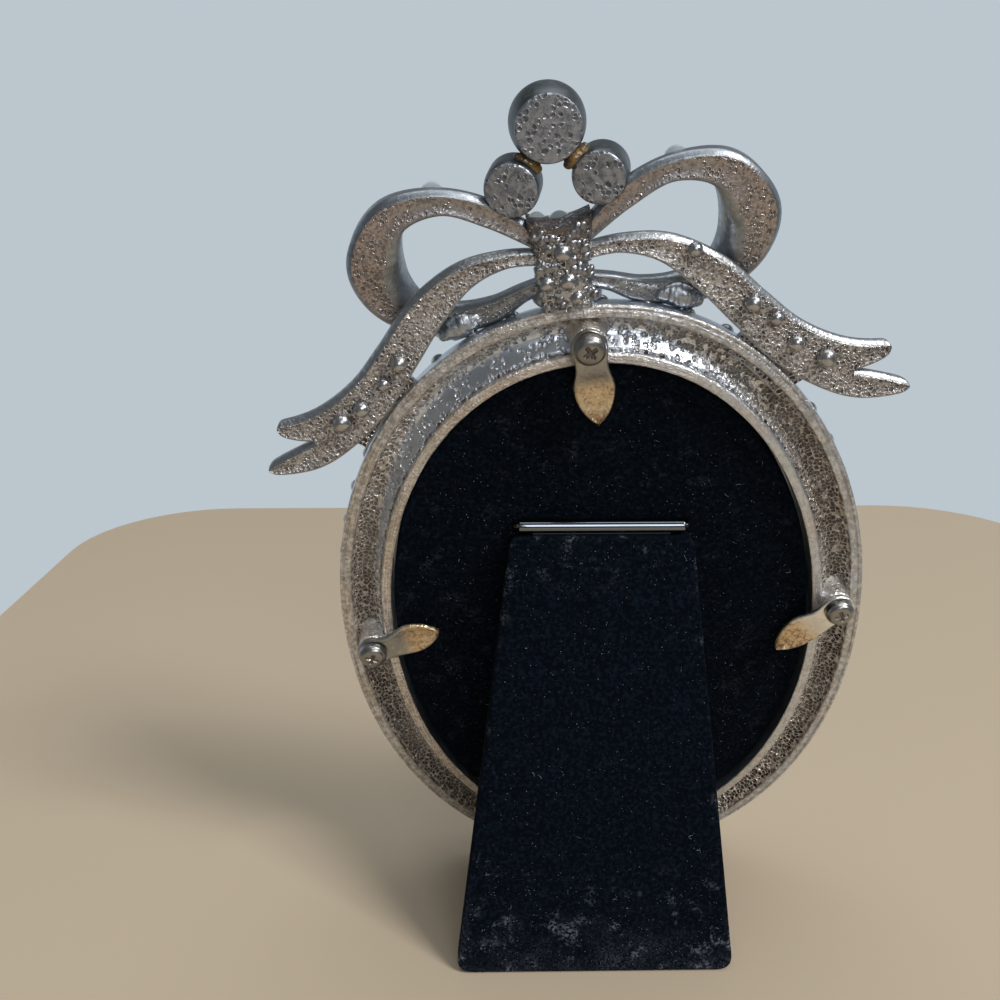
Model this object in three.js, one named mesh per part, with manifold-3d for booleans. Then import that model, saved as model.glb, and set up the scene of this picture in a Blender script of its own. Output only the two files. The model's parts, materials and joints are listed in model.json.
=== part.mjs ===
// An oval easel-back picture frame: a cast ring with a soldered ribbon bow and three crest cups, glazed from behind
// and closed by a velvet-covered back with a hinged leg. Millimetres, +Z up, front towards -Y.
// The pieces are drawn as seen from behind: x to the viewer's right, y up along the leaning frame, z to the viewer.
// Left and right in the names are as seen from behind.
import * as THREE from "three";
import { mergeVertices } from "three/addons/utils/BufferGeometryUtils.js";
import Module from "manifold-3d";

const wasm = await Module();
wasm.setup();
const { Manifold, Mesh: ManifoldMesh } = wasm;

const DEG = Math.PI / 180;

// How the frame stands
const LEAN = 15.6 * DEG; // the frame's lean back from upright
const STRUT_SPREAD = 22.3 * DEG; // the open leg's angle to the back
const RING_ROLL = 6.4 * DEG; // ring and back have rolled on the round edge; hinge and leg stay level
const BOW_TILT = 2 * DEG; // the bow is soldered on a little askew
const BOW_SHIFT = 0.5; // and a little to one side

// Clearances
const SEAT = 0.25; // between pieces that are seated, glued or soldered together
const PLY = 0.15; // between the flat layers of the back and of the leg
const RUN = 0.25; // between pieces that turn on each other

// Oval ring, by its outer edge and the widths of its mouldings from there inwards
const OVAL_HALF_WIDTH = 40;
const OVAL_HALF_HEIGHT = 53.8;
const OVAL_FULLNESS = 2.08; // 2 is an ellipse, and a little more is fuller in the quarters
const LAND_WIDTH = 1.4;
const CHANNEL_WIDTH = 4.9;
const CHANNEL_DEPTH = 1.9;
const CHANNEL_SKEW = 0.9; // below 1 the channel is deepest nearer to the land
const LIP_WIDTH = 1.5;
const LIP_RISE = 0.9;
const EDGE_ROUND = 0.35;
const LEDGE_WIDTH = 2.6; // the front ledge that the glass lies on
const LEDGE_THICK = 1.3;
const OUTER_WALL = 1.6; // height of the plain outer wall before the front roll begins
const ROLL_WIDTH = 6.2; // the half-round roll round the front
const ROLL_HEIGHT = 1.9;
const BEAD_COUNT = 50; // row of beads round the front edge
const BEAD_RADIUS = 1.15;
const BEAD_STAND = 0.45; // how far the beads stand out of the edge
const OVAL_STEPS = 64;

// Glass, card and back, from the ledge outwards
const GLASS_THICK = 1.2;
const CARD_THICK = 0.25;
const BOARD_THICK = 1.5;
const VELVET_THICK = 0.5;
const GLASS_CLEARANCE = 0.4;
const BOARD_CLEARANCE = 0.3;
const BACK_RECESS = 1.6; // the velvet lies this far below the lip

// Posts, screws and turn buttons
const POST_RADIUS = 2.3;
const POST_RISE = 1.1; // above the inner lip
const POST_INSET = 4.4; // post axis to the oval's outer edge
const SCREW_RADIUS = 0.8;
const SCREW_LENGTH = 3.6;
const SCREW_HOLE_SPARE = 0.4;
const HEAD_RADIUS = 2.15;
const HEAD_HEIGHT = 1.5;
const HEAD_FLATNESS = 0.7; // below 1 the head is flatter on top and squarer at its edge
const LEAF_THICK = 0.8;
const LEAF_LENGTH = 11.6; // screw's axis to the tip
const SHORT_LEAF_LENGTH = 10.7; // the left one's
const LEAF_HALF_WIDTH = 2.75;
const LEAF_HEEL_RADIUS = 2.4;
const LEAF_FLAT = 2.7; // length of the flat that lies on the post
const LEAF_BELLY = 6; // where the spoon is widest
const LEAF_HOVER = 0.4; // the spoon's middle above the inner lip
const LEAF_DISH = 0.2;
const LEAF_TIP_HALF = 0.2;
const LEAF_TIP_FULLNESS = 0.6; // below 1 the spoon is fuller before its tip
// Each post's place round the oval and the way its leaf points, both counter-clockwise from the right, and the
// leaf's length
const BUTTONS = [
  { name: "top", place: 89 * DEG, points: -87 * DEG, length: LEAF_LENGTH },
  { name: "left", place: 178 * DEG, points: 12 * DEG, length: SHORT_LEAF_LENGTH },
  { name: "right", place: 2 * DEG, points: 220 * DEG, length: LEAF_LENGTH },
];

// Hinge and leg
const HINGE_HEIGHT = 20; // barrel axis above the oval's centre
const STRUT_OFFSET = -1.3; // leg's middle to the oval's centre
const BARREL_LENGTH = 24;
const BARREL_RADIUS = 1.05;
const BARREL_GAP = 0.3; // barrel to velvet
const PIN_RADIUS = 0.38;
const PIN_BEND = 0.6;
const PIN_DEPTH = 1.1; // how deep the staple's legs go into the board
const LEAF_PLATE_WIDTH = 20;
const LEAF_PLATE_LENGTH = 9;
const LEAF_PLATE_THICK = 0.4;
const STRUT_TOP_WIDTH = 26.6;
const STRUT_FOOT_WIDTH = 43.6;
const STRUT_TOP_RADIUS = 1.6;
const STRUT_FOOT_RADIUS = 2.6;
const LEAST_RADIUS = 0.3; // a corner drawn in further stays this round
const STRUT_BOARD_THICK = 1.7;
const HEAD_GAP = 0.3; // barrel to the leg's top edge
const FOLD_GAP = 0.4; // folded leg to the back's velvet

// Bow, with heights above the ring's top. A ribbon's stations are [x, y, width, back face, depth] on the right-hand
// side, and the left one mirrors it.
const LOOP_STATIONS = [
  [2.4, 8.4, 2, -0.9, 2.5],
  [8.2, 13, 3.2, -0.5, 2.5],
  [14.2, 15.5, 3.1, -0.2, 2.7],
  [20.4, 14.4, 4.6, 0, 3.6],
  [23.4, 9.3, 7, -0.2, 4.8],
  [22.8, 4.1, 6.6, -1.7, 4.2],
  [19.3, 0.1, 5, -2.8, 3.2],
  [14.4, -0.8, 4.2, -2.8, 2.8],
  [9.6, 0.2, 3.4, -1.7, 2.6],
  [5.6, 2.1, 2.3, -1, 2.6],
  [2.4, 3, 2, -0.9, 2.6],
];
const TAIL_DEPTH = 2.1;
const TAIL_STATIONS = [
  [2.4, 6.8, 2, -0.5, TAIL_DEPTH],
  [7.5, 7.2, 2.3, -0.3, TAIL_DEPTH],
  [13, 5.8, 3.7, -0.1, TAIL_DEPTH],
  [18.3, 1.8, 5.2, 0, TAIL_DEPTH],
  [23.1, -3.7, 5.7, 0, TAIL_DEPTH],
  [27.7, -8.8, 6.4, 0, TAIL_DEPTH],
  [33, -12.6, 7.3, 0, TAIL_DEPTH],
  [38.3, -14.7, 8.3, 0, TAIL_DEPTH],
  [44.4, -14.9, 8, 0, TAIL_DEPTH],
];
const RIBBON_STEPS = 3; // sections between two stations
const RIBBON_ROUND = 0.45;
const RIBBON_DISH = 0.25;
// The fork of a tail's end: the bottom of its notch, and each side's bend and tip
const FORK_NOTCH = [36.8, -14.4];
const FORK_UPPER_BEND = [41.6, -13.6];
const FORK_UPPER_TIP = [41.6, -10.2];
const FORK_LOWER_BEND = [39.8, -15.6];
const FORK_LOWER_TIP = [44.5, -17.8];
const FORK_ROOM = 4; // how far the notch's cutter goes past the tips
const SOLDER_PLACE = [27.7, -8.8]; // the lug's start, in the tail's middle
const SOLDER_WIDTH = 4;
const SOLDER_THICK = 1.2;
const SOLDER_REACH = 9; // from there into the ring's edge, before it is trimmed to that edge
// Stone seats of a tail, as [x, y, radius of the bead behind]
const TAIL_SEATS = [
  [16.1, 4.3, 1],
  [23.4, -4.1, 1.2],
  [26, -6.8, 0.95],
  [29.2, -10.3, 1.25],
  [33, -12.8, 1.4],
];
const TAIL_STONE_RADIUS = 1.25;
const SEAT_DEPTH = 0.5;

const KNOT_TOP = 11.8;
const KNOT_SCOOP = 1.1;
const KNOT_HALF_TOP = 4;
const KNOT_HALF_FOOT = 3.3;
const KNOT_WAIST = 2.6;
const KNOT_BACK = 0.3;
const KNOT_DEPTH = 5;
const KNOT_LUMPS = [
  [0, 7.5, 1.15],
  [-2.5, 3.8, 1],
  [0.3, 3.8, 1.15],
  [1.2, 1.4, 0.85],
];
const KNOT_STONES = [
  { name: "upper", height: 8.1 },
  { name: "lower", height: 4.1 },
];
const KNOT_STONE_RADIUS = 1.6;

const CUP_DEPTH = 4.4;
const CUP_FLARE = 0.42; // the cup is this much wider than its flat back
const CUP_SHOULDER = 2.4; // flat back to where the cup is widest
const CUP_WALL = 0.6;
const CUP_FLOOR = 2;
const CUP_BACK = 0.3;
const LARGE_CUP_RADIUS = 4.65;
const SMALL_CUP_RADIUS = 3.45;
const SMALL_CUP_X = 5.3;
const SMALL_CUP_Y = 15.9;
const STONE_DOME = 0.55; // dome height as a share of a stone's radius

// Places that follow from these
const BAND_WIDTH = LAND_WIDTH + CHANNEL_WIDTH + LIP_WIDTH;
const VELVET_BACK = LIP_RISE - BACK_RECESS;
const BOARD_BACK = VELVET_BACK - VELVET_THICK - PLY;
const CARD_BACK = BOARD_BACK - BOARD_THICK - PLY;
const GLASS_BACK = CARD_BACK - CARD_THICK - PLY;
const LEDGE_BACK = GLASS_BACK - GLASS_THICK - PLY;
const RING_FRONT = LEDGE_BACK - LEDGE_THICK;
const BEAD_ROW = -OUTER_WALL - BEAD_RADIUS;
const POST_TOP = LIP_RISE + POST_RISE;
const LEAF_UNDER = POST_TOP + RUN;
const LEAF_DROP = LEAF_UNDER - LIP_RISE - LEAF_HOVER;
const HEAD_UNDER = LEAF_UNDER + LEAF_THICK + RUN;
const HINGE_BACK = VELVET_BACK + BARREL_GAP + BARREL_RADIUS;
const TAIL_FRONT = -TAIL_DEPTH;

// The leg is drawn in its own frame: y up along it from the barrel's axis, z out of its velvet face.
const LEG_HEAD = BARREL_RADIUS + HEAD_GAP;
const LEG_INNER = FOLD_GAP - BARREL_GAP - BARREL_RADIUS;
const LEG_CORE_BACK = LEG_INNER + STRUT_BOARD_THICK;
const LEG_BACK = LEG_CORE_BACK + PLY + VELVET_THICK;
const LEG_FROM_UPRIGHT = STRUT_SPREAD - LEAN;

// The bow's own frame in that of the ring, and its crest cups.
const BOW_PLACE = new THREE.Matrix4()
  .makeRotationZ(BOW_TILT)
  .multiply(new THREE.Matrix4().makeTranslation(BOW_SHIFT, OVAL_HALF_HEIGHT, 0));
const RING_IN_BOW = BOW_PLACE.clone().invert();
const CUP_PITCH = LARGE_CUP_RADIUS + SMALL_CUP_RADIUS + SEAT;
const LARGE_CUP_Y = SMALL_CUP_Y + Math.sqrt(CUP_PITCH ** 2 - SMALL_CUP_X ** 2);
const CUPS = [
  { name: "left", radius: SMALL_CUP_RADIUS, x: -SMALL_CUP_X, y: SMALL_CUP_Y },
  { name: "right", radius: SMALL_CUP_RADIUS, x: SMALL_CUP_X, y: SMALL_CUP_Y },
  { name: "large", radius: LARGE_CUP_RADIUS, x: 0, y: LARGE_CUP_Y },
];

const FINISHES = {
  silver: { color: 0x8f877c, roughness: 0.42, metalness: 1 },
  bronze: { color: 0x9c8258, roughness: 0.45, metalness: 1 },
  steel: { color: 0x8c8a86, roughness: 0.35, metalness: 1 },
  chrome: { color: 0xc9cdd2, roughness: 0.12, metalness: 1 },
  velvet: { color: 0x06080e, roughness: 0.95, metalness: 0 },
  board: { color: 0x8a7355, roughness: 0.9, metalness: 0 },
  card: { color: 0xe8e4da, roughness: 0.8, metalness: 0 },
  glass: { color: 0xdfe9ea, roughness: 0.05, metalness: 0, transparent: true, opacity: 0.3 },
  stone: { color: 0xd8dde2, roughness: 0.12, metalness: 0 },
};

function piece(name, geometry, finish) {
  const mesh = new THREE.Mesh(geometry, new THREE.MeshStandardMaterial(FINISHES[finish]));
  mesh.name = name;
  return mesh;
}

// A geometry as a solid with shared corners, its faces turned outwards.
function solid(geometry) {
  const bare = new THREE.BufferGeometry();
  bare.setAttribute("position", geometry.getAttribute("position"));
  bare.setIndex(geometry.index);
  const merged = mergeVertices(bare, 1e-4);
  const triVerts = new Uint32Array(merged.index.array);
  const vertProperties = new Float32Array(merged.attributes.position.array);
  const made = new Manifold(new ManifoldMesh({ numProp: 3, vertProperties, triVerts }));
  if (made.volume() >= 0) return made;
  triVerts.reverse();
  return new Manifold(new ManifoldMesh({ numProp: 3, vertProperties, triVerts }));
}

function geometryOf(body) {
  const { vertProperties, triVerts } = body.getMesh();
  const geometry = new THREE.BufferGeometry();
  geometry.setAttribute("position", new THREE.BufferAttribute(new Float32Array(vertProperties), 3));
  geometry.setIndex(new THREE.BufferAttribute(new Uint32Array(triVerts), 1));
  return geometry;
}

// A body through closed sections of equally many points. Open runs get end caps fanned from the middle.
function loft(sections, closed = false) {
  const count = sections[0].length;
  const positions = sections.flat().flatMap((p) => [p.x, p.y, p.z]);
  const faces = [];
  const runs = closed ? sections.length : sections.length - 1;
  for (let i = 0; i < runs; i++) {
    const here = i * count;
    const next = ((i + 1) % sections.length) * count;
    for (let j = 0; j < count; j++) {
      const k = (j + 1) % count;
      faces.push(here + j, next + j, next + k, here + j, next + k, here + k);
    }
  }
  if (!closed) {
    for (const end of [0, sections.length - 1]) {
      const middle = new THREE.Vector3();
      sections[end].forEach((p) => middle.addScaledVector(p, 1 / count));
      const hub = positions.length / 3;
      positions.push(middle.x, middle.y, middle.z);
      for (let j = 0; j < count; j++) {
        const a = end * count + j;
        const b = end * count + ((j + 1) % count);
        faces.push(hub, ...(end === 0 ? [a, b] : [b, a]));
      }
    }
  }
  const geometry = new THREE.BufferGeometry();
  geometry.setAttribute("position", new THREE.Float32BufferAttribute(positions, 3));
  geometry.setIndex(faces);
  return geometry;
}

function prism(shape, low, high, curveSegments = 12) {
  const options = { depth: high - low, bevelEnabled: false, curveSegments };
  return new THREE.ExtrudeGeometry(shape, options).translate(0, 0, low);
}

function rod(radius, low, high, x = 0, y = 0, sides = 20) {
  const geometry = new THREE.CylinderGeometry(radius, radius, high - low, sides).rotateX(Math.PI / 2);
  return geometry.translate(x, y, (low + high) / 2);
}

// A turned body about z, from [radius, z] corners that start and end on the axis.
function turned(corners, sides = 20) {
  const profile = corners.map(([radius, z]) => new THREE.Vector2(radius, z));
  return geometryOf(solid(new THREE.LatheGeometry(profile, sides).rotateX(Math.PI / 2)));
}

function signedPower(value, power) {
  return Math.sign(value) * Math.abs(value) ** power;
}

// A point of the oval's outer edge moved inwards, square to the edge.
function ovalPoint(angle, inset) {
  const across = signedPower(Math.cos(angle), 2 / OVAL_FULLNESS);
  const up = signedPower(Math.sin(angle), 2 / OVAL_FULLNESS);
  const edge = new THREE.Vector2(OVAL_HALF_WIDTH * across, OVAL_HALF_HEIGHT * up);
  const outward = new THREE.Vector2(
    OVAL_HALF_HEIGHT * signedPower(across, OVAL_FULLNESS - 1),
    OVAL_HALF_WIDTH * signedPower(up, OVAL_FULLNESS - 1),
  );
  return edge.addScaledVector(outward.normalize(), -inset);
}

function ovalOutline(inset) {
  return Array.from({ length: OVAL_STEPS }, (_, i) => ovalPoint((i / OVAL_STEPS) * 2 * Math.PI, inset));
}

function ovalPrism(inset, low, high) {
  return prism(new THREE.Shape(ovalOutline(inset)), low, high);
}

// The ring's section, as [inset from the outer edge, z], round the back, the rabbet and the front.
function ringSection() {
  const channelStart = LAND_WIDTH + EDGE_ROUND;
  const channelEnd = LAND_WIDTH + CHANNEL_WIDTH;
  const corners = [
    [0, -EDGE_ROUND],
    [EDGE_ROUND, 0],
    [LAND_WIDTH, 0],
    [channelStart, -EDGE_ROUND],
  ];
  const channelSteps = 5;
  for (let i = 1; i < channelSteps; i++) {
    const share = i / channelSteps;
    const inset = THREE.MathUtils.lerp(channelStart, channelEnd, share);
    const chord = THREE.MathUtils.lerp(-EDGE_ROUND, LIP_RISE - EDGE_ROUND, share);
    corners.push([inset, chord - CHANNEL_DEPTH * Math.sin(Math.PI * share ** CHANNEL_SKEW)]);
  }
  const sight = BAND_WIDTH + LEDGE_WIDTH;
  corners.push(
    [channelEnd, LIP_RISE - EDGE_ROUND],
    [channelEnd + EDGE_ROUND, LIP_RISE],
    [BAND_WIDTH, LIP_RISE],
    [BAND_WIDTH, LEDGE_BACK],
    [sight, LEDGE_BACK],
    [sight, RING_FRONT + EDGE_ROUND],
    [sight - EDGE_ROUND, RING_FRONT],
  );
  const rollSteps = 5;
  for (let i = 0; i < rollSteps; i++) {
    const share = i / rollSteps;
    const base = THREE.MathUtils.lerp(RING_FRONT + EDGE_ROUND, -OUTER_WALL, share);
    const inset = (ROLL_WIDTH / 2) * (1 + Math.cos(Math.PI * share));
    corners.push([inset, base - ROLL_HEIGHT * Math.sin(Math.PI * share)]);
  }
  corners.push([0, -OUTER_WALL]);
  return corners;
}

function buttonAxis(button) {
  return ovalPoint(button.place, POST_INSET);
}

function frameRing() {
  const section = ringSection();
  const stations = Array.from({ length: OVAL_STEPS }, (_, i) => {
    const angle = (i / OVAL_STEPS) * 2 * Math.PI;
    return section.map(([inset, z]) => {
      const p = ovalPoint(angle, inset);
      return new THREE.Vector3(p.x, p.y, z);
    });
  });
  let ring = solid(loft(stations, true));
  const outline = ovalOutline(0);
  const edge = new THREE.SplineCurve([...outline, outline[0]]);
  for (const p of edge.getSpacedPoints(BEAD_COUNT).slice(1)) {
    const bead = new THREE.SphereGeometry(BEAD_RADIUS, 5, 3).rotateX(Math.PI / 2);
    const inwards = p.clone().setLength(p.length() - BEAD_RADIUS + BEAD_STAND);
    ring = ring.add(solid(bead.translate(inwards.x, inwards.y, BEAD_ROW)));
  }
  const screwEnd = HEAD_UNDER - SCREW_LENGTH - SCREW_HOLE_SPARE;
  for (const button of BUTTONS) {
    const axis = buttonAxis(button);
    ring = ring.add(solid(rod(POST_RADIUS, screwEnd - SCREW_RADIUS, POST_TOP, axis.x, axis.y)));
  }
  for (const button of BUTTONS) {
    const axis = buttonAxis(button);
    ring = ring.subtract(solid(rod(SCREW_RADIUS + SEAT, screwEnd, POST_TOP + SEAT, axis.x, axis.y, 12)));
  }
  return geometryOf(ring);
}

function buttonScrew() {
  const head = [];
  const steps = 4;
  for (let i = 0; i <= steps; i++) {
    const turn = (i / steps) * (Math.PI / 2);
    const out = HEAD_RADIUS * Math.cos(turn) ** HEAD_FLATNESS;
    head.push([out, HEAD_UNDER + HEAD_HEIGHT * Math.sin(turn) ** HEAD_FLATNESS]);
  }
  head[steps][0] = 0;
  const end = HEAD_UNDER - SCREW_LENGTH;
  return turned([[0, end], [SCREW_RADIUS, end + SCREW_RADIUS / 2], [SCREW_RADIUS, HEAD_UNDER], ...head], 16);
}

// The leaf's half width at a distance from the screw: a round heel, nearly straight sides and an egg-shaped spoon.
function leafHalfWidth(along, length) {
  if (along < 0) return Math.sqrt(Math.max(LEAF_HEEL_RADIUS ** 2 - along ** 2, LEAF_TIP_HALF ** 2));
  if (along < LEAF_BELLY) {
    return THREE.MathUtils.lerp(LEAF_HEEL_RADIUS, LEAF_HALF_WIDTH, along / LEAF_BELLY);
  }
  const share = (along - LEAF_BELLY) / (length - LEAF_BELLY);
  const taper = Math.max(Math.cos((share * Math.PI) / 2), 0) ** LEAF_TIP_FULLNESS;
  return Math.max(LEAF_HALF_WIDTH * taper, LEAF_TIP_HALF);
}

function turnButton(length) {
  const steps = 14;
  const sections = [];
  for (let i = 0; i <= steps; i++) {
    const share = (1 - Math.cos((Math.PI * i) / steps)) / 2; // closer together towards both round ends
    const along = THREE.MathUtils.lerp(-LEAF_HEEL_RADIUS, length, share);
    const half = leafHalfWidth(along, length);
    const bend = THREE.MathUtils.smoothstep(along, LEAF_FLAT, LEAF_BELLY);
    const rim = LEAF_UNDER - LEAF_DROP * bend + LEAF_DISH * bend;
    const dish = rim - LEAF_DISH * bend;
    sections.push([
      new THREE.Vector3(along, -half, rim),
      new THREE.Vector3(along, 0, dish),
      new THREE.Vector3(along, half, rim),
      new THREE.Vector3(along, half, rim + LEAF_THICK),
      new THREE.Vector3(along, 0, dish + LEAF_THICK),
      new THREE.Vector3(along, -half, rim + LEAF_THICK),
    ]);
  }
  const hole = rod(SCREW_RADIUS + RUN, LEAF_UNDER - LEAF_DROP, HEAD_UNDER, 0, 0, 16);
  return geometryOf(solid(loft(sections)).subtract(solid(hole)));
}

// A layer of the back, which fills the rabbet's oval and has rolled with it.
function backPrism(inset, low, high) {
  const middle = new THREE.Vector2();
  const outline = ovalOutline(BAND_WIDTH + BOARD_CLEARANCE + inset);
  return prism(new THREE.Shape(outline.map((p) => p.rotateAround(middle, RING_ROLL))), low, high);
}

// The staple's legs pass through the velvet into the board.
function pinLegs() {
  const half = BARREL_LENGTH / 2 + RUN + PIN_RADIUS;
  return [STRUT_OFFSET - half, STRUT_OFFSET + half];
}

function stapleHoles(body) {
  for (const x of pinLegs()) {
    const floor = BOARD_BACK - PIN_DEPTH - SEAT;
    body = body.subtract(solid(rod(PIN_RADIUS + SEAT, floor, VELVET_BACK + SEAT, x, HINGE_HEIGHT, 12)));
  }
  return geometryOf(body);
}

function backingBoard() {
  const board = solid(backPrism(VELVET_THICK + PLY, BOARD_BACK - BOARD_THICK, BOARD_BACK));
  return stapleHoles(board);
}

// The velvet covers the board's back and is turned down round its edge.
function backingVelvet() {
  const front = BOARD_BACK - BOARD_THICK;
  const cover = solid(backPrism(0, front, VELVET_BACK));
  return stapleHoles(cover.subtract(solid(backPrism(VELVET_THICK, front - PLY, BOARD_BACK + PLY))));
}

// A wire staple: two legs in the board, bent over into the axle that the barrel turns on.
function hingePin() {
  const [left, right] = pinLegs();
  const foot = BOARD_BACK - PIN_DEPTH;
  const bendSteps = 3;
  const route = [[left, foot, 0]];
  for (let i = 0; i <= bendSteps; i++) {
    const turn = ((i / bendSteps) * Math.PI) / 2;
    const x = left + PIN_BEND * (1 - Math.cos(turn));
    route.push([x, HINGE_BACK - PIN_BEND * (1 - Math.sin(turn)), turn]);
  }
  const mirrored = route.map(([x, z, turn]) => [left + right - x, z, Math.PI - turn]).reverse();
  const sides = 8;
  const sections = [...route, ...mirrored].map(([x, z, turn]) =>
    Array.from({ length: sides }, (_, i) => {
      const round = (i / sides) * 2 * Math.PI;
      const out = PIN_RADIUS * Math.cos(round);
      const up = PIN_RADIUS * Math.sin(round);
      return new THREE.Vector3(x - out * Math.cos(turn), HINGE_HEIGHT + up, z + out * Math.sin(turn));
    }),
  );
  return geometryOf(solid(loft(sections)));
}

// The hinge's leaf, half way through the leg's core, or the pocket it lies in.
function plateBlock(grow) {
  const width = LEAF_PLATE_WIDTH + 2 * grow;
  const thick = LEAF_PLATE_THICK + 2 * grow;
  const length = LEAF_PLATE_LENGTH + grow;
  const plate = new THREE.BoxGeometry(width, length, thick);
  const top = -(BARREL_RADIUS + PIN_RADIUS + RUN) / 2;
  return plate.translate(0, top - length / 2, (LEG_INNER + LEG_CORE_BACK) / 2);
}

// A rolled sleeve with its leaf, which lies in a pocket of the leg.
function hingeBarrel() {
  const sleeve = rod(BARREL_RADIUS, -BARREL_LENGTH / 2, BARREL_LENGTH / 2).rotateY(Math.PI / 2);
  const bore = rod(PIN_RADIUS + RUN, -BARREL_LENGTH, BARREL_LENGTH).rotateY(Math.PI / 2);
  return geometryOf(solid(sleeve).add(solid(plateBlock(0))).subtract(solid(bore)));
}

// The leg's tapered outline with round corners, drawn in by an inset on every side.
function legOutline(length, inset) {
  const top = -LEG_HEAD - inset;
  const foot = -length + inset;
  const halfTop = STRUT_TOP_WIDTH / 2 - inset;
  const halfFoot = STRUT_FOOT_WIDTH / 2 - inset;
  const taper = (halfFoot - halfTop) / (top - foot);
  const topRadius = Math.max(STRUT_TOP_RADIUS - inset, LEAST_RADIUS);
  const footRadius = Math.max(STRUT_FOOT_RADIUS - inset, LEAST_RADIUS);
  const shape = new THREE.Shape();
  shape.moveTo(-halfFoot + footRadius, foot);
  shape.lineTo(halfFoot - footRadius, foot);
  shape.quadraticCurveTo(halfFoot, foot, halfFoot - taper * footRadius, foot + footRadius);
  shape.lineTo(halfTop + taper * topRadius, top - topRadius);
  shape.quadraticCurveTo(halfTop, top, halfTop - topRadius, top);
  shape.lineTo(-halfTop + topRadius, top);
  shape.quadraticCurveTo(-halfTop, top, -halfTop - taper * topRadius, top - topRadius);
  shape.lineTo(-halfFoot + taper * footRadius, foot + footRadius);
  shape.quadraticCurveTo(-halfFoot, foot, -halfFoot + footRadius, foot);
  return shape;
}

// A slab of the leg, its foot slanted so that it stands flat while the leg is open.
function legSlab(length, inset, low, high) {
  const slab = prism(legOutline(length, inset), low, high, 5);
  const points = slab.getAttribute("position");
  for (let i = 0; i < points.count; i++) {
    const slant = 1 + (points.getZ(i) * Math.tan(LEG_FROM_UPRIGHT)) / length;
    points.setY(i, points.getY(i) * slant);
  }
  return solid(slab);
}

function strutBoard(length) {
  const core = legSlab(length, VELVET_THICK + PLY, LEG_INNER, LEG_CORE_BACK);
  return geometryOf(core.subtract(solid(plateBlock(PLY))));
}

function strutVelvet(length) {
  const cover = legSlab(length, 0, LEG_INNER, LEG_BACK);
  const inside = legSlab(length, VELVET_THICK, LEG_INNER - PLY, LEG_CORE_BACK + PLY);
  return geometryOf(cover.subtract(inside).subtract(solid(plateBlock(PLY))));
}

// A cast ribbon along its stations: a dished back with round edges and a crowned front.
function ribbon(stations) {
  const path = new THREE.SplineCurve(stations.map(([x, y]) => new THREE.Vector2(x, y)));
  const sizes = stations.map(([, , width, back, depth]) => new THREE.Vector3(width, back, depth));
  const sizeCurve = new THREE.CatmullRomCurve3(sizes, false, "catmullrom", 0.5);
  const steps = (stations.length - 1) * RIBBON_STEPS;
  const sections = [];
  for (let i = 0; i <= steps; i++) {
    const middle = path.getPoint(i / steps);
    const along = path.getTangent(i / steps);
    const size = sizeCurve.getPoint(i / steps);
    const half = size.x / 2;
    const front = size.y - size.z;
    const rim = [
      [-half, size.y - RIBBON_ROUND],
      [-half + RIBBON_ROUND, size.y],
      [0, size.y - RIBBON_DISH],
      [half - RIBBON_ROUND, size.y],
      [half, size.y - RIBBON_ROUND],
      [half, front + 2 * RIBBON_ROUND],
      [half / 2, front + RIBBON_ROUND / 2],
      [0, front],
      [-half / 2, front + RIBBON_ROUND / 2],
      [-half, front + 2 * RIBBON_ROUND],
    ];
    sections.push(rim.map(([across, z]) =>
      new THREE.Vector3(middle.x - along.y * across, middle.y + along.x * across, z)));
  }
  return solid(loft(sections));
}

function mirrorStations(stations, side) {
  return stations.map(([x, ...rest]) => [side * x, ...rest]);
}

function knotOutline(grow) {
  const foot = -BAND_WIDTH;
  const halfTop = KNOT_HALF_TOP + grow;
  const halfFoot = KNOT_HALF_FOOT + grow;
  const top = KNOT_TOP + grow;
  const shape = new THREE.Shape();
  shape.moveTo(-halfFoot, foot);
  shape.lineTo(halfFoot, foot);
  shape.lineTo(halfFoot, KNOT_WAIST);
  shape.quadraticCurveTo(halfFoot, (KNOT_WAIST + top) / 2, halfTop, top);
  shape.quadraticCurveTo(0, top - 2 * KNOT_SCOOP, -halfTop, top);
  shape.quadraticCurveTo(-halfFoot, (KNOT_WAIST + top) / 2, -halfFoot, KNOT_WAIST);
  return shape;
}

function knotBlock(grow) {
  return solid(prism(knotOutline(grow), KNOT_BACK - KNOT_DEPTH - grow, KNOT_BACK + grow, 6));
}

// A low round lump that stands half out of a back face.
function lump(x, y, z, radius) {
  return solid(new THREE.SphereGeometry(radius, 7, 4).rotateX(Math.PI / 2).translate(x, y, z));
}

// The ring's outer edge and beads with their soldering gap, as the bow's pieces meet them.
function ringInBow() {
  const reach = KNOT_DEPTH * 2;
  const edge = solid(ovalPrism(-SEAT, -reach, reach).applyMatrix4(RING_IN_BOW));
  const room = BEAD_RADIUS + SEAT;
  const beads = ovalPrism(-BEAD_STAND - SEAT, BEAD_ROW - room, BEAD_ROW + room).applyMatrix4(RING_IN_BOW);
  return edge.add(solid(beads));
}

// A body cut back to leave each crest cup its seat.
function withoutCups(body) {
  for (const { radius, x, y } of CUPS) {
    body = body.subtract(solid(rod(radius + SEAT, CUP_BACK - 2 * CUP_DEPTH, CUP_BACK + SEAT, x, y, 24)));
  }
  return body;
}

function crestCup(radius) {
  const rim = CUP_BACK - CUP_DEPTH;
  const floor = CUP_BACK - CUP_FLOOR;
  return turned([
    [0, floor],
    [radius - CUP_WALL, floor],
    [radius - CUP_WALL, rim],
    [radius, rim],
    [radius, CUP_BACK - CUP_SHOULDER],
    [radius - CUP_FLARE / 2, CUP_BACK - CUP_SHOULDER / 4],
    [radius - CUP_FLARE, CUP_BACK],
    [0, CUP_BACK],
  ]);
}

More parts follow.
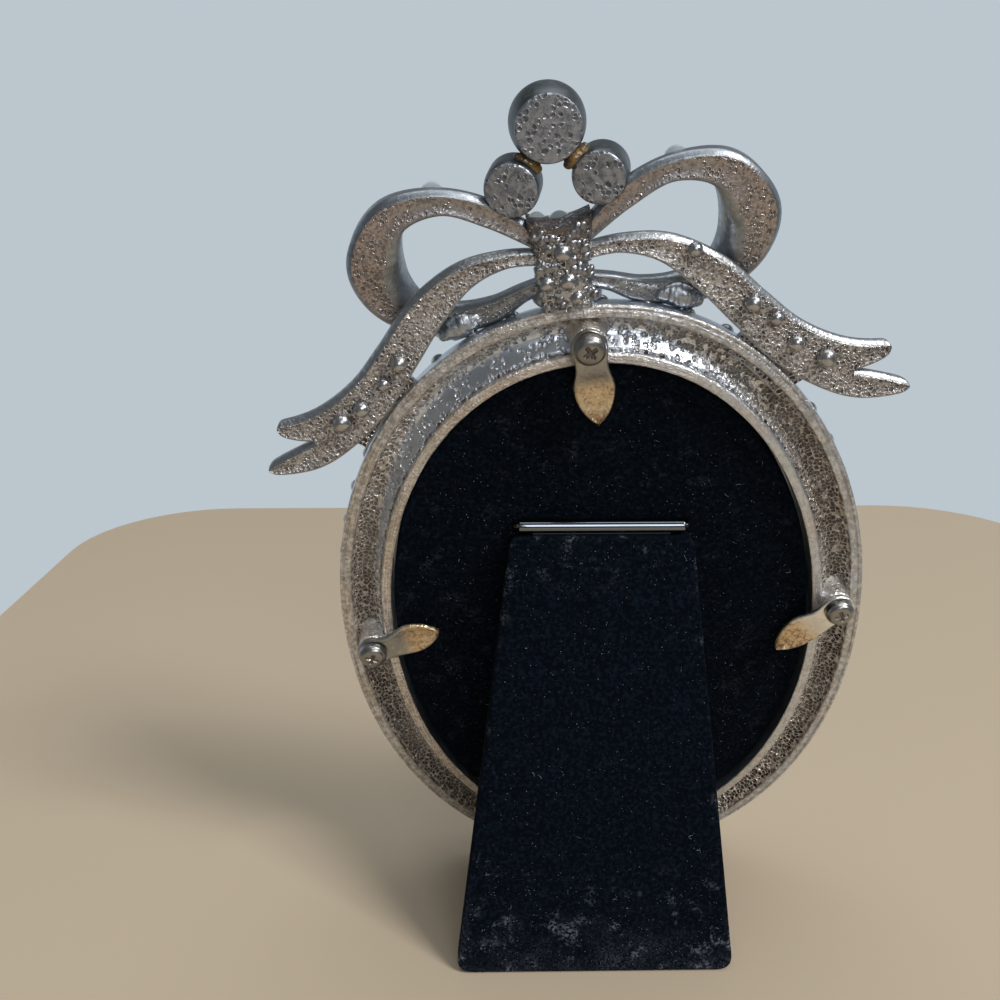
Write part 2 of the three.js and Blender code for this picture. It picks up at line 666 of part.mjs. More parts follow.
// A domed stone with a flat base at z and its dome to the front.
function stone(radius, base, girdle, sides) {
  const corners = [[0, base], [radius, base], [radius, base - girdle]];
  const steps = 3;
  for (let i = 1; i <= steps; i++) {
    const turn = ((i / steps) * Math.PI) / 2;
    const dome = radius * STONE_DOME * Math.sin(turn);
    corners.push([i === steps ? 0 : radius * Math.cos(turn), base - girdle - dome]);
  }
  return turned(corners, sides);
}

function crestStone(radius) {
  const base = CUP_BACK - CUP_FLOOR - SEAT;
  return stone(radius - CUP_WALL - SEAT, base, CUP_DEPTH - CUP_FLOOR - SEAT, 20);
}

function bowKnot(ring) {
  let knot = knotBlock(0);
  for (const [x, y, radius] of KNOT_LUMPS) knot = knot.add(lump(x, y, KNOT_BACK, radius));
  const front = KNOT_BACK - KNOT_DEPTH;
  for (const { height } of KNOT_STONES) {
    knot = knot.subtract(solid(rod(KNOT_STONE_RADIUS + SEAT, front - SEAT, front + SEAT_DEPTH, 0, height, 12)));
  }
  return geometryOf(withoutCups(knot.subtract(ring)));
}

function bowLoop(side, ring) {
  const loop = ribbon(mirrorStations(LOOP_STATIONS, side)).subtract(knotBlock(SEAT)).subtract(ring);
  return geometryOf(withoutCups(loop));
}

// The curved notch that forks a tail's end.
function forkCut(side) {
  const shape = new THREE.Shape();
  const right = Math.max(FORK_UPPER_TIP[0], FORK_LOWER_TIP[0]) + FORK_ROOM;
  const above = FORK_UPPER_TIP[1] + FORK_ROOM;
  shape.moveTo(...FORK_NOTCH);
  shape.quadraticCurveTo(...FORK_UPPER_BEND, ...FORK_UPPER_TIP);
  shape.lineTo(FORK_UPPER_TIP[0], above);
  shape.lineTo(right, above);
  shape.lineTo(right, FORK_LOWER_TIP[1]);
  shape.lineTo(...FORK_LOWER_TIP);
  shape.quadraticCurveTo(...FORK_LOWER_BEND, ...FORK_NOTCH);
  return solid(prism(shape, -KNOT_DEPTH, KNOT_DEPTH, 5).scale(side, 1, 1));
}

// The lug of solder from a tail towards the ring's middle.
function solderLug(side) {
  const x = side * SOLDER_PLACE[0];
  const y = SOLDER_PLACE[1];
  const middle = new THREE.Vector3().applyMatrix4(RING_IN_BOW);
  const lug = new THREE.BoxGeometry(SOLDER_REACH, SOLDER_WIDTH, SOLDER_THICK).translate(SOLDER_REACH / 2, 0, 0);
  return solid(lug.rotateZ(Math.atan2(middle.y - y, middle.x - x)).translate(x, y, -SOLDER_THICK));
}

function ribbonTail(side, ring) {
  let tail = ribbon(mirrorStations(TAIL_STATIONS, side)).subtract(forkCut(side)).subtract(knotBlock(SEAT));
  tail = tail.add(solderLug(side)).subtract(ring);
  for (const [x, y, radius] of TAIL_SEATS) {
    tail = tail.add(lump(side * x, y, 0, radius));
    const room = rod(TAIL_STONE_RADIUS + SEAT, -KNOT_DEPTH, TAIL_FRONT + SEAT_DEPTH, side * x, y, 8);
    tail = tail.subtract(solid(room));
  }
  return geometryOf(tail);
}

function addBow(bow) {
  const ring = ringInBow();
  bow.add(piece("bow_knot", bowKnot(ring), "silver"));
  for (const { name, height } of KNOT_STONES) {
    const base = KNOT_BACK - KNOT_DEPTH + SEAT_DEPTH - SEAT;
    const gem = stone(KNOT_STONE_RADIUS, base, SEAT_DEPTH, 10).translate(0, height, 0);
    bow.add(piece(`knot_stone_${name}`, gem, "stone"));
  }
  for (const [name, side] of [["left", -1], ["right", 1]]) {
    bow.add(piece(`bow_loop_${name}`, bowLoop(side, ring), "silver"));
    bow.add(piece(`ribbon_tail_${name}`, ribbonTail(side, ring), "silver"));
    TAIL_SEATS.forEach(([x, y], i) => {
      const base = TAIL_FRONT + SEAT_DEPTH - SEAT;
      const gem = stone(TAIL_STONE_RADIUS, base, SEAT_DEPTH, 8).translate(side * x, y, 0);
      bow.add(piece(`tail_stone_${name}_${i + 1}`, gem, "stone"));
    });
  }
  for (const { name, radius, x, y } of CUPS) {
    bow.add(piece(`crest_cup_${name}`, crestCup(radius).translate(x, y, 0), "silver"));
    bow.add(piece(`crest_stone_${name}`, crestStone(radius).translate(x, y, 0), "stone"));
  }
}

const part = new THREE.Group();
const frame = new THREE.Group(); // the leaning frame, drawn from behind about the oval's centre
frame.rotation.set(Math.PI / 2 - LEAN, Math.PI, 0);
part.add(frame);

const casting = new THREE.Group(); // the ring and all that is fixed to it
casting.rotation.z = RING_ROLL;
frame.add(casting);

const ringPiece = piece("frame_ring", frameRing(), "silver");
casting.add(ringPiece);
for (const button of BUTTONS) {
  const axis = buttonAxis(button);
  const screw = piece(`button_screw_${button.name}`, buttonScrew(), "steel");
  screw.position.set(axis.x, axis.y, 0);
  const leaf = piece(`turn_button_${button.name}`, turnButton(button.length), "bronze");
  leaf.position.set(axis.x, axis.y, 0);
  leaf.rotation.z = button.points;
  casting.add(screw, leaf);
}
const glassInset = BAND_WIDTH + GLASS_CLEARANCE;
casting.add(piece("glass_pane", ovalPrism(glassInset, LEDGE_BACK + PLY, GLASS_BACK), "glass"));

const bow = new THREE.Group();
bow.applyMatrix4(BOW_PLACE);
addBow(bow);
casting.add(bow);

frame.add(piece("photo_insert", backPrism(VELVET_THICK, GLASS_BACK + PLY, CARD_BACK), "card"));
frame.add(piece("backing_board", backingBoard(), "board"));
frame.add(piece("backing_velvet", backingVelvet(), "velvet"));
frame.add(piece("hinge_pin", hingePin(), "steel"));

// The leg is as long as it takes to stand level with the ring's lowest point.
part.updateMatrixWorld(true);
const ground = new THREE.Box3().setFromObject(ringPiece, true).min.z;
const hinge = new THREE.Vector3(STRUT_OFFSET, HINGE_HEIGHT, HINGE_BACK);
const hingeAbove = hinge.clone().applyMatrix4(frame.matrixWorld).z - ground;
const legLength = hingeAbove / Math.cos(LEG_FROM_UPRIGHT);

const leg = new THREE.Group();
leg.position.copy(hinge);
leg.rotation.x = -STRUT_SPREAD;
leg.add(piece("hinge_barrel", hingeBarrel(), "chrome"));
leg.add(piece("strut_board", strutBoard(legLength), "board"));
leg.add(piece("strut_velvet", strutVelvet(legLength), "velvet"));
frame.add(leg);

// The origin is on the ground under the middle of the part.
part.updateMatrixWorld(true);
const box = new THREE.Box3().setFromObject(part, true);
frame.position.set(-(box.min.x + box.max.x) / 2, -(box.min.y + box.max.y) / 2, -box.min.z);

export default part;
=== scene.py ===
"""Looks of an oval easel-back picture frame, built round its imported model.

The frame is seen from behind: a cast antique-silver ring with a ribbon bow and three crest cups, closed by a
velvet back with a hinged leg. Pieces are drawn in millimetres, x to the viewer's right, y up along the
leaning frame and z towards the viewer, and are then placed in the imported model's space, in metres. Left and
right are as seen from behind.
"""

from __future__ import annotations

import json
import logging
import math
from dataclasses import dataclass, replace
from enum import Enum
from typing import Any, ClassVar, Union

import bpy
import numpy as np
from mathutils import Matrix, Vector

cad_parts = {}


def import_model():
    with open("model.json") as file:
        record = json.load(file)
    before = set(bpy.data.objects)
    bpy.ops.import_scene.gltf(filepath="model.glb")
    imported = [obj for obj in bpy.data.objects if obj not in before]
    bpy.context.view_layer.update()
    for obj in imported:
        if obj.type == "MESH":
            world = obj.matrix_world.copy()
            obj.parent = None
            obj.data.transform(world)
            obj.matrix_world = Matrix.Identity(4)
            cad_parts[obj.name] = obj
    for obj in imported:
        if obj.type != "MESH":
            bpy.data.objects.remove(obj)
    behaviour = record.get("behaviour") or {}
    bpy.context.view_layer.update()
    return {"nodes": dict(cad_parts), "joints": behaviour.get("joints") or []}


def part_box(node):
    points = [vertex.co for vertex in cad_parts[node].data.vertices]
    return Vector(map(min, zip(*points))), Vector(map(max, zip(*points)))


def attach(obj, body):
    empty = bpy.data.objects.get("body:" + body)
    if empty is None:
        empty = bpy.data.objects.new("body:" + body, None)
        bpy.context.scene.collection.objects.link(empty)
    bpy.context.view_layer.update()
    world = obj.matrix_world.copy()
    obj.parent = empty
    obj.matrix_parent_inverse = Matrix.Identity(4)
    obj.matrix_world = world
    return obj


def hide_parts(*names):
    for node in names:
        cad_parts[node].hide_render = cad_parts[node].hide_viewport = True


LOG = logging.getLogger("oval_frame")
MM = 0.001
LEAN = math.radians(15.6)  # of the whole frame, backwards
ROLL = math.radians(6.4)  # of ring, bow and back, on the ring's edge
BOW_ASKEW = math.radians(2.0)  # of the bow on the ring
BOW_SHIFT = 0.5  # of the bow, to the right of the ring's top
LEG_OPEN = math.radians(22.3)  # from the back to the leg
HINGE = (-1.3, 20.0, 0.65)  # its middle, from the ring's centre
ROUND_SIDES = 20  # of a bead and of the wire
GLASS_MIDDLE = 4.0  # how far the glass lies in front of the drawings' plane
SHARP = math.radians(55)  # edges that turn further are drawn sharp
EDGE_TURN = np.linspace(0.2, 1.57, 6)  # angles at which a cloth's rounded edge is drawn

Points = np.ndarray
Pair = tuple[float, float]
Triple = tuple[float, float, float]
Colour = tuple[float, float, float, float]
Table = dict[Any, Any]
Operand = Union["Value", float]


class Body(Enum):
    """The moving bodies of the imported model."""

    FRAME = "frame"
    STRUT = "strut"
    TOP = "top_button"
    LEFT = "left_button"
    RIGHT = "right_button"


class Slot(Enum):
    """The record's material slots, named with each piece."""

    SILVER = "antique_silver"
    STEEL = "steel"
    BRONZE = "worn_bronze"
    CHROME = "chrome"
    VELVET = "velvet"
    STONE = "stone"


class Zone(Enum):
    """The mouldings that the ring's section passes through."""

    PLAIN = 0
    LAND = 1
    CHANNEL = 2
    LIP = 3


class Side(Enum):
    """The two sides of the bow, as signs of x."""

    LEFT = -1
    RIGHT = 1

    @property
    def label(self) -> str:
        """The side as it is written in names."""
        return self.name.lower()


class Value:
    """A socket of a node tree, with arithmetic that adds Math nodes."""

    def __init__(self, graph: Graph, socket: bpy.types.NodeSocket) -> None:
        """Wraps one socket."""
        self.graph = graph
        self.socket = socket

    def _math(self, operation: str, first: Operand, second: Operand) -> Value:
        """Adds a Math node."""
        return self.graph.node("ShaderNodeMath", {"operation": operation}, {0: first, 1: second})

    def __add__(self, other: Operand) -> Value:
        """Adds."""
        return self._math("ADD", self, other)

    def __radd__(self, other: float) -> Value:
        """Adds to a number."""
        return self._math("ADD", other, self)

    def __sub__(self, other: Operand) -> Value:
        """Subtracts."""
        return self._math("SUBTRACT", self, other)

    def __rsub__(self, other: float) -> Value:
        """Subtracts from a number."""
        return self._math("SUBTRACT", other, self)

    def __mul__(self, other: Operand) -> Value:
        """Multiplies."""
        return self._math("MULTIPLY", self, other)

    def __rmul__(self, other: float) -> Value:
        """Multiplies a number."""
        return self._math("MULTIPLY", other, self)

    def __rtruediv__(self, other: float) -> Value:
        """Divides a number."""
        return self._math("DIVIDE", other, self)

    def smooth(self, low: float, high: float) -> Value:
        """Rises smoothly from 0 at low to 1 at high, or falls where low is the larger."""
        ends = {"Value": self, "From Min": low, "From Max": high}
        return self.graph.node("ShaderNodeMapRange", {"interpolation_type": "SMOOTHSTEP"}, ends)

    def held(self) -> Value:
        """Keeps the value between 0 and 1."""
        return self.graph.node("ShaderNodeClamp", inputs={"Value": self})

    def other(self, name: str) -> Value:
        """Another output of the same node."""
        return Value(self.graph, Graph.find(self.socket.node.outputs, name))


class Graph:
    """A node tree under construction."""

    def __init__(self, tree: bpy.types.NodeTree) -> None:
        """Starts on an empty tree."""
        self.tree = tree

    @staticmethod
    def find(sockets: Any, key: int | str) -> bpy.types.NodeSocket:
        """Finds a socket in use.

        Args:
            sockets: A node's inputs or outputs.
            key: The socket's index or name.

        Returns:
            The socket.
        """
        if isinstance(key, int):
            return sockets[key]
        return next(s for s in sockets if s.enabled and s.name == key)

    def node(self, kind: str, settings: Table | None = None, inputs: Table | None = None,
             output: int | str = 0) -> Value:
        """Adds a node.

        Args:
            kind: The node's type.
            settings: Properties of the node, set first.
            inputs: Values or links of its sockets, by index or name.
            output: The output to go on with.

        Returns:
            That output, or the first input of a node that ends a tree.
        """
        made = self.tree.nodes.new(kind)
        for name, value in (settings or {}).items():
            setattr(made, name, value)
        for key, value in (inputs or {}).items():
            socket = self.find(made.inputs, key)
            if isinstance(value, Value):
                self.tree.links.new(value.socket, socket)
            else:
                socket.default_value = value
        return Value(self, self.find(made.outputs, output) if made.outputs else made.inputs[0])

    def mix(self, share: Operand, first: Colour | Value, second: Colour | Value) -> Value:
        """Mixes two colours, the second by its share."""
        sides = {"Factor": share, "A": first, "B": second}
        return self.node("ShaderNodeMix", {"data_type": "RGBA"}, sides, "Result")

    def scaled(self, vector: Value, factor: Operand) -> Value:
        """Scales a vector."""
        settings = {"operation": "SCALE"}
        return self.node("ShaderNodeVectorMath", settings, {"Vector": vector, "Scale": factor}, "Vector")

    def place(self) -> Value:
        """Object coordinates, in metres."""
        return self.node("ShaderNodeTexCoord", output="Object")

    def mark(self, name: str, output: str = "Fac") -> Value:
        """A mark on the mesh, read by a material."""
        return self.node("ShaderNodeAttribute", {"attribute_name": name}, output=output)

    def noise(self, place: Value, scale: float, detail: float = 2.0) -> Value:
        """Smooth noise about 0.5, with scale waves to a unit of place."""
        return self.node("ShaderNodeTexNoise", inputs={"Vector": place, "Scale": scale, "Detail": detail})

    def pits(self, grain: Value, density: Value, pitch: Operand, wide: Operand) -> tuple[Value, Value]:
        """Scatters round pits over a surface.

        Args:
            grain: Places on the surface, in millimetres.
            density: The share of places that have their pit.
            pitch: The pits' distance.
            wide: Their width, 1 where they share their walls.

        Returns:
            Masks of the pits' bowls and of their rims.
        """
        wander = self.node("ShaderNodeTexNoise", inputs={"Vector": grain, "Scale": 0.8}, output="Color")
        bent = self.node("ShaderNodeVectorMath", {"operation": "MULTIPLY_ADD"},
                         {0: wander, 1: (0.8, 0.8, 0.0), 2: grain}, "Vector")
        sizes = {"Vector": bent, "Scale": 1 / pitch, "Randomness": 0.9}
        flat = {"voronoi_dimensions": "2D"}
        distance = self.node("ShaderNodeTexVoronoi", flat, sizes, "Distance")
        wall = self.node("ShaderNodeTexVoronoi", flat | {"feature": "DISTANCE_TO_EDGE"}, sizes)
        chance = self.node("ShaderNodeSeparateXYZ", inputs={"Vector": distance.other("Color")}, output="X")
        there = (density - chance).smooth(0.0, 0.12)
        reach = distance * (1.2 - chance.other("Y") * 0.5) * (1 / wide)
        bowl = reach.smooth(0.55, 0.25) * wall.smooth(0.02, 0.12) * there
        ring = reach.smooth(0.42, 0.54) * reach.smooth(0.78, 0.6)
        crest = wall.smooth(0.13, 0.03) * reach.smooth(0.8, 0.5)
        return bowl, (ring + crest).held() * there

    def bumped(self, height: Value, relief: float) -> Value:
        """A bumped normal, with the relief in millimetres."""
        inputs = {"Height": height, "Strength": 1.0, "Distance": relief * MM}
        return self.node("ShaderNodeBump", inputs=inputs)

    def surface(self, inputs: Table) -> Value:
        """A principled shader."""
        return self.node("ShaderNodeBsdfPrincipled", inputs=inputs)


@dataclass(frozen=True)
class Finish:
    """A material by name, made once."""

    name: str

    def paint(self, graph: Graph) -> Value:
        """Adds the finish's nodes and gives its shader."""
        raise NotImplementedError

    def material(self) -> bpy.types.Material:
        """Gives the finish's material, making it the first time.

        Returns:
            The material.
        """
        found = bpy.data.materials.get(self.name)
        if found:
            return found
        made = bpy.data.materials.new(self.name)
        made.use_nodes = True
        made.node_tree.nodes.clear()
        graph = Graph(made.node_tree)
        graph.node("ShaderNodeOutputMaterial", inputs={"Surface": self.paint(graph)})
        return made


@dataclass(frozen=True)
class CastMetal(Finish):
    """Cast metal with a worn plate, brown patina, round pits where its mesh is marked for them, darkening
    where it is marked for grime and painted shade, and painted glints on pit rims and on spots where the wear
    noise is low.
    """

    pale: Colour = (0.54, 0.56, 0.59, 1.0)
    warm: Colour = (0.45, 0.395, 0.33, 1.0)
    oxide: Colour = (0.19, 0.172, 0.16, 1.0)
    hollow: Colour = (0.085, 0.07, 0.06, 1.0)
    glint: Colour = (0.80, 0.79, 0.78, 1.0)
    pitch: float = 0.85
    wide: float = 0.75
    relief: float = 0.2
    roughness: float = 0.28
    tarnish: float = 0.55
    grit: float = 0.6
    stain: float = 0.3
    drawn: float = 0.0

    def paint(self, graph: Graph) -> Value:
        """Adds the plate, its wear, its patina, its pits, its grime and painted shade, and its painted
        glints.

        Args:
            graph: The material's tree.

        Returns:
            The shader.
        """
        place, grain, tone = graph.place(), graph.mark("grain", "Vector"), graph.mark("tone")
        bowl, rim = graph.pits(grain, graph.mark("pits"), self.pitch, self.wide)
        broad = graph.noise(place, 150.0, 3.0)
        fine = graph.noise(place, 1300.0, 4.0)
        raw = (0.35 + tone * 0.65).held()
        speck = (graph.noise(place, 2900.0, 3.0) - 0.5) * raw * self.grit
        along = graph.node("ShaderNodeMapping", inputs={"Vector": grain, "Scale": (0.2, 4.5, 1.0)})
        streak = (graph.noise(along, 1.0) - 0.5) * raw * self.drawn
        wear = fine + (broad - 0.5) * 0.7 + speck + streak
        dull = wear.smooth(0.46, 0.72) * raw * self.tarnish
        bright = wear.smooth(0.42, 0.2) * raw
        warmth = (tone + (broad - 0.5) * 1.1).held()
        # The soil mark carries both grime and painted shade; it darkens the plate toward the hollow colour.
        soil = graph.mark("soil") * fine.smooth(0.36, 0.6)
        plate = graph.mix(warmth, self.pale, self.warm)
        plate = graph.mix(dull, plate, self.oxide)
        stained = bowl * (self.stain + warmth * 0.8) + soil
        plate = graph.mix(stained.held(), plate, self.hollow)
        # Painted glints: pit rims and spots where the wear noise is low are lightened toward the glint
        # colour.
        colour = graph.mix((rim * 0.75 + bright * (1.0 - bowl) * 0.6).held(), plate, self.glint)
        rough = self.roughness + dull * 0.35 + bowl * 0.2 + soil * 0.2 - rim * 0.08
        height = rim * 0.6 - bowl - soil * 0.4 + fine * raw * 0.45 + speck * 0.6 + streak * 0.3
        return graph.surface({
            "Base Color": colour,
            "Metallic": 1.0 - dull * 0.25,
            "Roughness": rough,
            "Normal": graph.bumped(height, self.relief),
        })


@dataclass(frozen=True)
class Chrome(Finish):
    """Bright plate on a rolled tube, with fine draw lines along it."""

    plate: Colour = (0.20, 0.22, 0.245, 1.0)
    worn: Colour = (0.14, 0.152, 0.165, 1.0)

    def paint(self, graph: Graph) -> Value:
        """Adds the plate and its draw lines.

        Args:
            graph: The material's tree.

        Returns:
            The shader.
        """
        drawn = {"Vector": graph.place(), "Scale": (60.0, 3000.0, 3000.0)}
        lines = graph.noise(graph.node("ShaderNodeMapping", inputs=drawn), 1.0, 3.0)
        return graph.surface({
            "Base Color": graph.mix(lines.smooth(0.5, 0.75), self.plate, self.worn),
            "Metallic": 1.0,
            "Roughness": 0.05 + lines * 0.08,
        })


@dataclass(frozen=True)
class Velvet(Finish):
    """Short black pile with a blue cast, greyer where it is rubbed and where a painted sheen runs along a
    rounded edge.
    """

    pile: Colour = (0.0010, 0.0024, 0.0049, 1.0)
    nap: Colour = (0.0042, 0.0083, 0.0152, 1.0)
    rubbed: Colour = (0.04, 0.048, 0.064, 1.0)
    dust: Colour = (0.15, 0.17, 0.21, 1.0)

    def paint(self, graph: Graph) -> Value:
        """Adds the pile, its rubbed places, its painted sheen and smears of dust.

        Args:
            graph: The material's tree.

        Returns:
            The shader.
        """
        place, rub = graph.place(), graph.mark("rub")
        clouds = graph.noise(place, 190.0, 4.0)
        tufts = graph.noise(place, 3000.0, 2.0)
        # The rub mark carries both wear and painted sheen; it mixes in the rubbed colour.
        worn = (rub + (clouds - 0.5) * 1.3).smooth(0.25, 1.1) * tufts.smooth(0.35, 0.75)
        fuzz = graph.noise(place, 2000.0, 6.0).smooth(0.44, 0.6)
        smear = graph.noise(place, 320.0, 5.0).smooth(0.545, 0.68) * (rub + 0.07).held() * fuzz
        pile = graph.mix(graph.noise(place, 1700.0, 4.0).smooth(0.4, 0.7), self.pile, self.nap)
        pile = graph.mix(worn, pile, self.rubbed)
        return graph.surface({
            "Base Color": graph.mix(smear, pile, self.dust),
            "Roughness": 0.95 - worn * 0.1,
            "Specular IOR Level": 0.05,
            "Normal": graph.bumped(tufts + clouds * 0.4, 0.12),
        })


@dataclass(frozen=True)
class Clouded(Finish):
    """One stuff with clouds of a second colour, and what else its shader is set to."""

    first: Colour
    second: Colour
    scale: float
    detail: float
    edge: Pair
    rough: float
    rough_clouds: float = 0.0
    fixed: tuple[tuple[str, float], ...] = ()

    def paint(self, graph: Graph) -> Value:
        """Adds the clouds and the polish.

        Args:
            graph: The material's tree.

        Returns:
            The shader.
        """
        clouds = graph.noise(graph.place(), self.scale, self.detail).smooth(*self.edge)
        return graph.surface({
            "Base Color": graph.mix(clouds, self.first, self.second),
            "Roughness": self.rough + clouds * self.rough_clouds,
            **dict(self.fixed),
        })


@dataclass(frozen=True)
class Fibre(Finish):
    """Pressed fibre, as board or as card."""

    light: Colour = (0.33, 0.23, 0.14, 1.0)
    dark: Colour = (0.20, 0.13, 0.075, 1.0)
    grain: float = 900.0
    relief: float = 0.05

    def paint(self, graph: Graph) -> Value:
        """Adds fibres and faint clouds.

        Args:
            graph: The material's tree.

        Returns:
            The shader.
        """
        place = graph.place()
        fibres = graph.noise(place, self.grain, 4.0)
        clouds = graph.noise(place, 60.0)
        share = (fibres * 0.7 + clouds * 0.3).smooth(0.35, 0.65)
        return graph.surface({
            "Base Color": graph.mix(share, self.light, self.dark),
            "Roughness": 0.8 + fibres * 0.15,
            "Normal": graph.bumped(fibres, self.relief),
        })


METAL_MARKS = ("grain", "pits", "tone", "soil")
RING_SILVER = CastMetal("ring_silver", pale=(0.70, 0.75, 0.82, 1.0), warm=(0.95, 0.82, 0.68, 1.0),
                        oxide=(0.36, 0.31, 0.26, 1.0), hollow=(0.08, 0.059, 0.046, 1.0),
                        glint=(1.0, 0.97, 0.92, 1.0), pitch=0.68, wide=1.2, relief=0.52, roughness=0.3,
                        tarnish=0.7, grit=1.2, stain=0.25, drawn=1.7)
TAIL_SILVER = CastMetal("tail_silver", pale=(0.46, 0.48, 0.50, 1.0), warm=(0.58, 0.54, 0.525, 1.0),
                        hollow=(0.09, 0.078, 0.075, 1.0), pitch=0.7, relief=0.3, roughness=0.34,
                        tarnish=1.0, grit=2.1, stain=-0.15)
# Its pale colour is kept dark as painted shade on the loops' bevels and turned inner faces; the return
# strands take it too.
LOOP_SILVER = CastMetal("loop_silver", pale=(0.33, 0.365, 0.40, 1.0), warm=(0.46, 0.385, 0.362, 1.0),
                        hollow=(0.14, 0.12, 0.11, 1.0), glint=(0.56, 0.53, 0.51, 1.0), pitch=0.62,
                        relief=0.16, roughness=0.36, tarnish=0.85, grit=1.7, stain=-0.3)
# Its pale colour is nearly black: painted shade on the cups' side walls.
CUP_SILVER = CastMetal("cup_silver", pale=(0.095, 0.112, 0.118, 1.0), warm=(0.42, 0.452, 0.525, 1.0),
                       hollow=(0.085, 0.09, 0.105, 1.0), glint=(0.40, 0.41, 0.43, 1.0), pitch=0.8,
                       relief=0.06, roughness=0.42, tarnish=0.7, grit=1.0, stain=-0.25)
KNOT_SILVER = CastMetal("knot_silver", pale=(0.50, 0.52, 0.55, 1.0), warm=(0.14, 0.125, 0.125, 1.0),
                        pitch=0.8, tarnish=0.7, grit=1.2)
GRAIN_SILVER = CastMetal("grain_silver", pale=(0.32, 0.325, 0.345, 1.0), warm=(0.13, 0.115, 0.11, 1.0),
                         tarnish=0.8, grit=1.2)
BEAD_SILVER = CastMetal("bead_silver", pale=(0.48, 0.48, 0.485, 1.0), relief=0.05, roughness=0.26, grit=1.0)
SCREW_STEEL = CastMetal("screw_steel", pale=(0.31, 0.305, 0.29, 1.0), warm=(0.15, 0.12, 0.10, 1.0),
                        relief=0.06, roughness=0.3, grit=1.2)
LEAF_BRONZE = CastMetal("leaf_bronze", pale=(0.34, 0.345, 0.33, 1.0), warm=(0.78, 0.60, 0.37, 1.0),
                        oxide=(0.34, 0.21, 0.12, 1.0), hollow=(0.22, 0.145, 0.09, 1.0),
                        glint=(0.97, 0.88, 0.70, 1.0), relief=0.4, tarnish=0.85, grit=0.8)
WORN_BRONZE = replace(LEAF_BRONZE, name="leaf_silvered", pale=(0.90, 0.88, 0.83, 1.0))
PIN_STEEL = CastMetal("pin_steel", pale=(0.035, 0.035, 0.04, 1.0), warm=(0.03, 0.028, 0.025, 1.0),
                      relief=0.01)
SOLDER = CastMetal("solder", pale=(0.44, 0.48, 0.53, 1.0), relief=0.12, roughness=0.34, grit=1.6)
CHROME = Chrome("chrome_tube")
VELVET = Velvet("black_velvet")
LINT = Clouded("velvet_lint", (0.06, 0.07, 0.09, 1.0), (0.34, 0.36, 0.41, 1.0), 500.0, 2.0, (0.35, 0.65), 0.9)
BOARD = Fibre("fibreboard")
CARD = Fibre("blank_card", (0.74, 0.70, 0.61, 1.0), (0.66, 0.62, 0.53, 1.0), 1600.0, 0.01)
GLASS = Clouded("picture_glass", (0.97, 0.99, 0.98, 1.0), (0.93, 0.95, 0.94, 1.0), 70.0, 3.0, (0.5, 0.75),
                0.01, 0.05, (("Transmission Weight", 1.0), ("IOR", 1.5)))
STONE = Clouded("pale_stone", (0.40, 0.47, 0.50, 1.0), (0.58, 0.62, 0.63, 1.0), 320.0, 3.0, (0.35, 0.7),
                0.06, 0.06, (("Coat Weight", 0.5), ("IOR", 1.6)))
GLUE = Clouded("amber_glue", (0.24, 0.145, 0.05, 1.0), (0.07, 0.045, 0.025, 1.0), 700.0, 2.0, (0.4, 0.65),
               0.16, 0.2, (("Coat Weight", 0.4),))


@dataclass(frozen=True)
class Placement:
    """A drawing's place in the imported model."""

    matrix: Matrix

    def place(self, points: Points) -> Points:
        """Takes points from drawing millimetres to the model's metres."""
        table = np.array(self.matrix)
        return points @ table[:3, :3].T + table[:3, 3]

    def shifted(self, x: float, y: float, z: float = 0.0) -> Placement:
        """The same drawing, moved within itself."""
        return Placement(self.matrix @ Matrix.Translation((x, y, z)))

    def turned(self, angle: float, axis: str = "Z") -> Placement:
        """The same drawing, turned within itself."""
        return Placement(self.matrix @ Matrix.Rotation(angle, 4, axis))

    def at_origin(self) -> Placement:
        """The same drawing, turned and scaled but not moved."""
        return Placement(self.matrix.to_3x3().to_4x4())


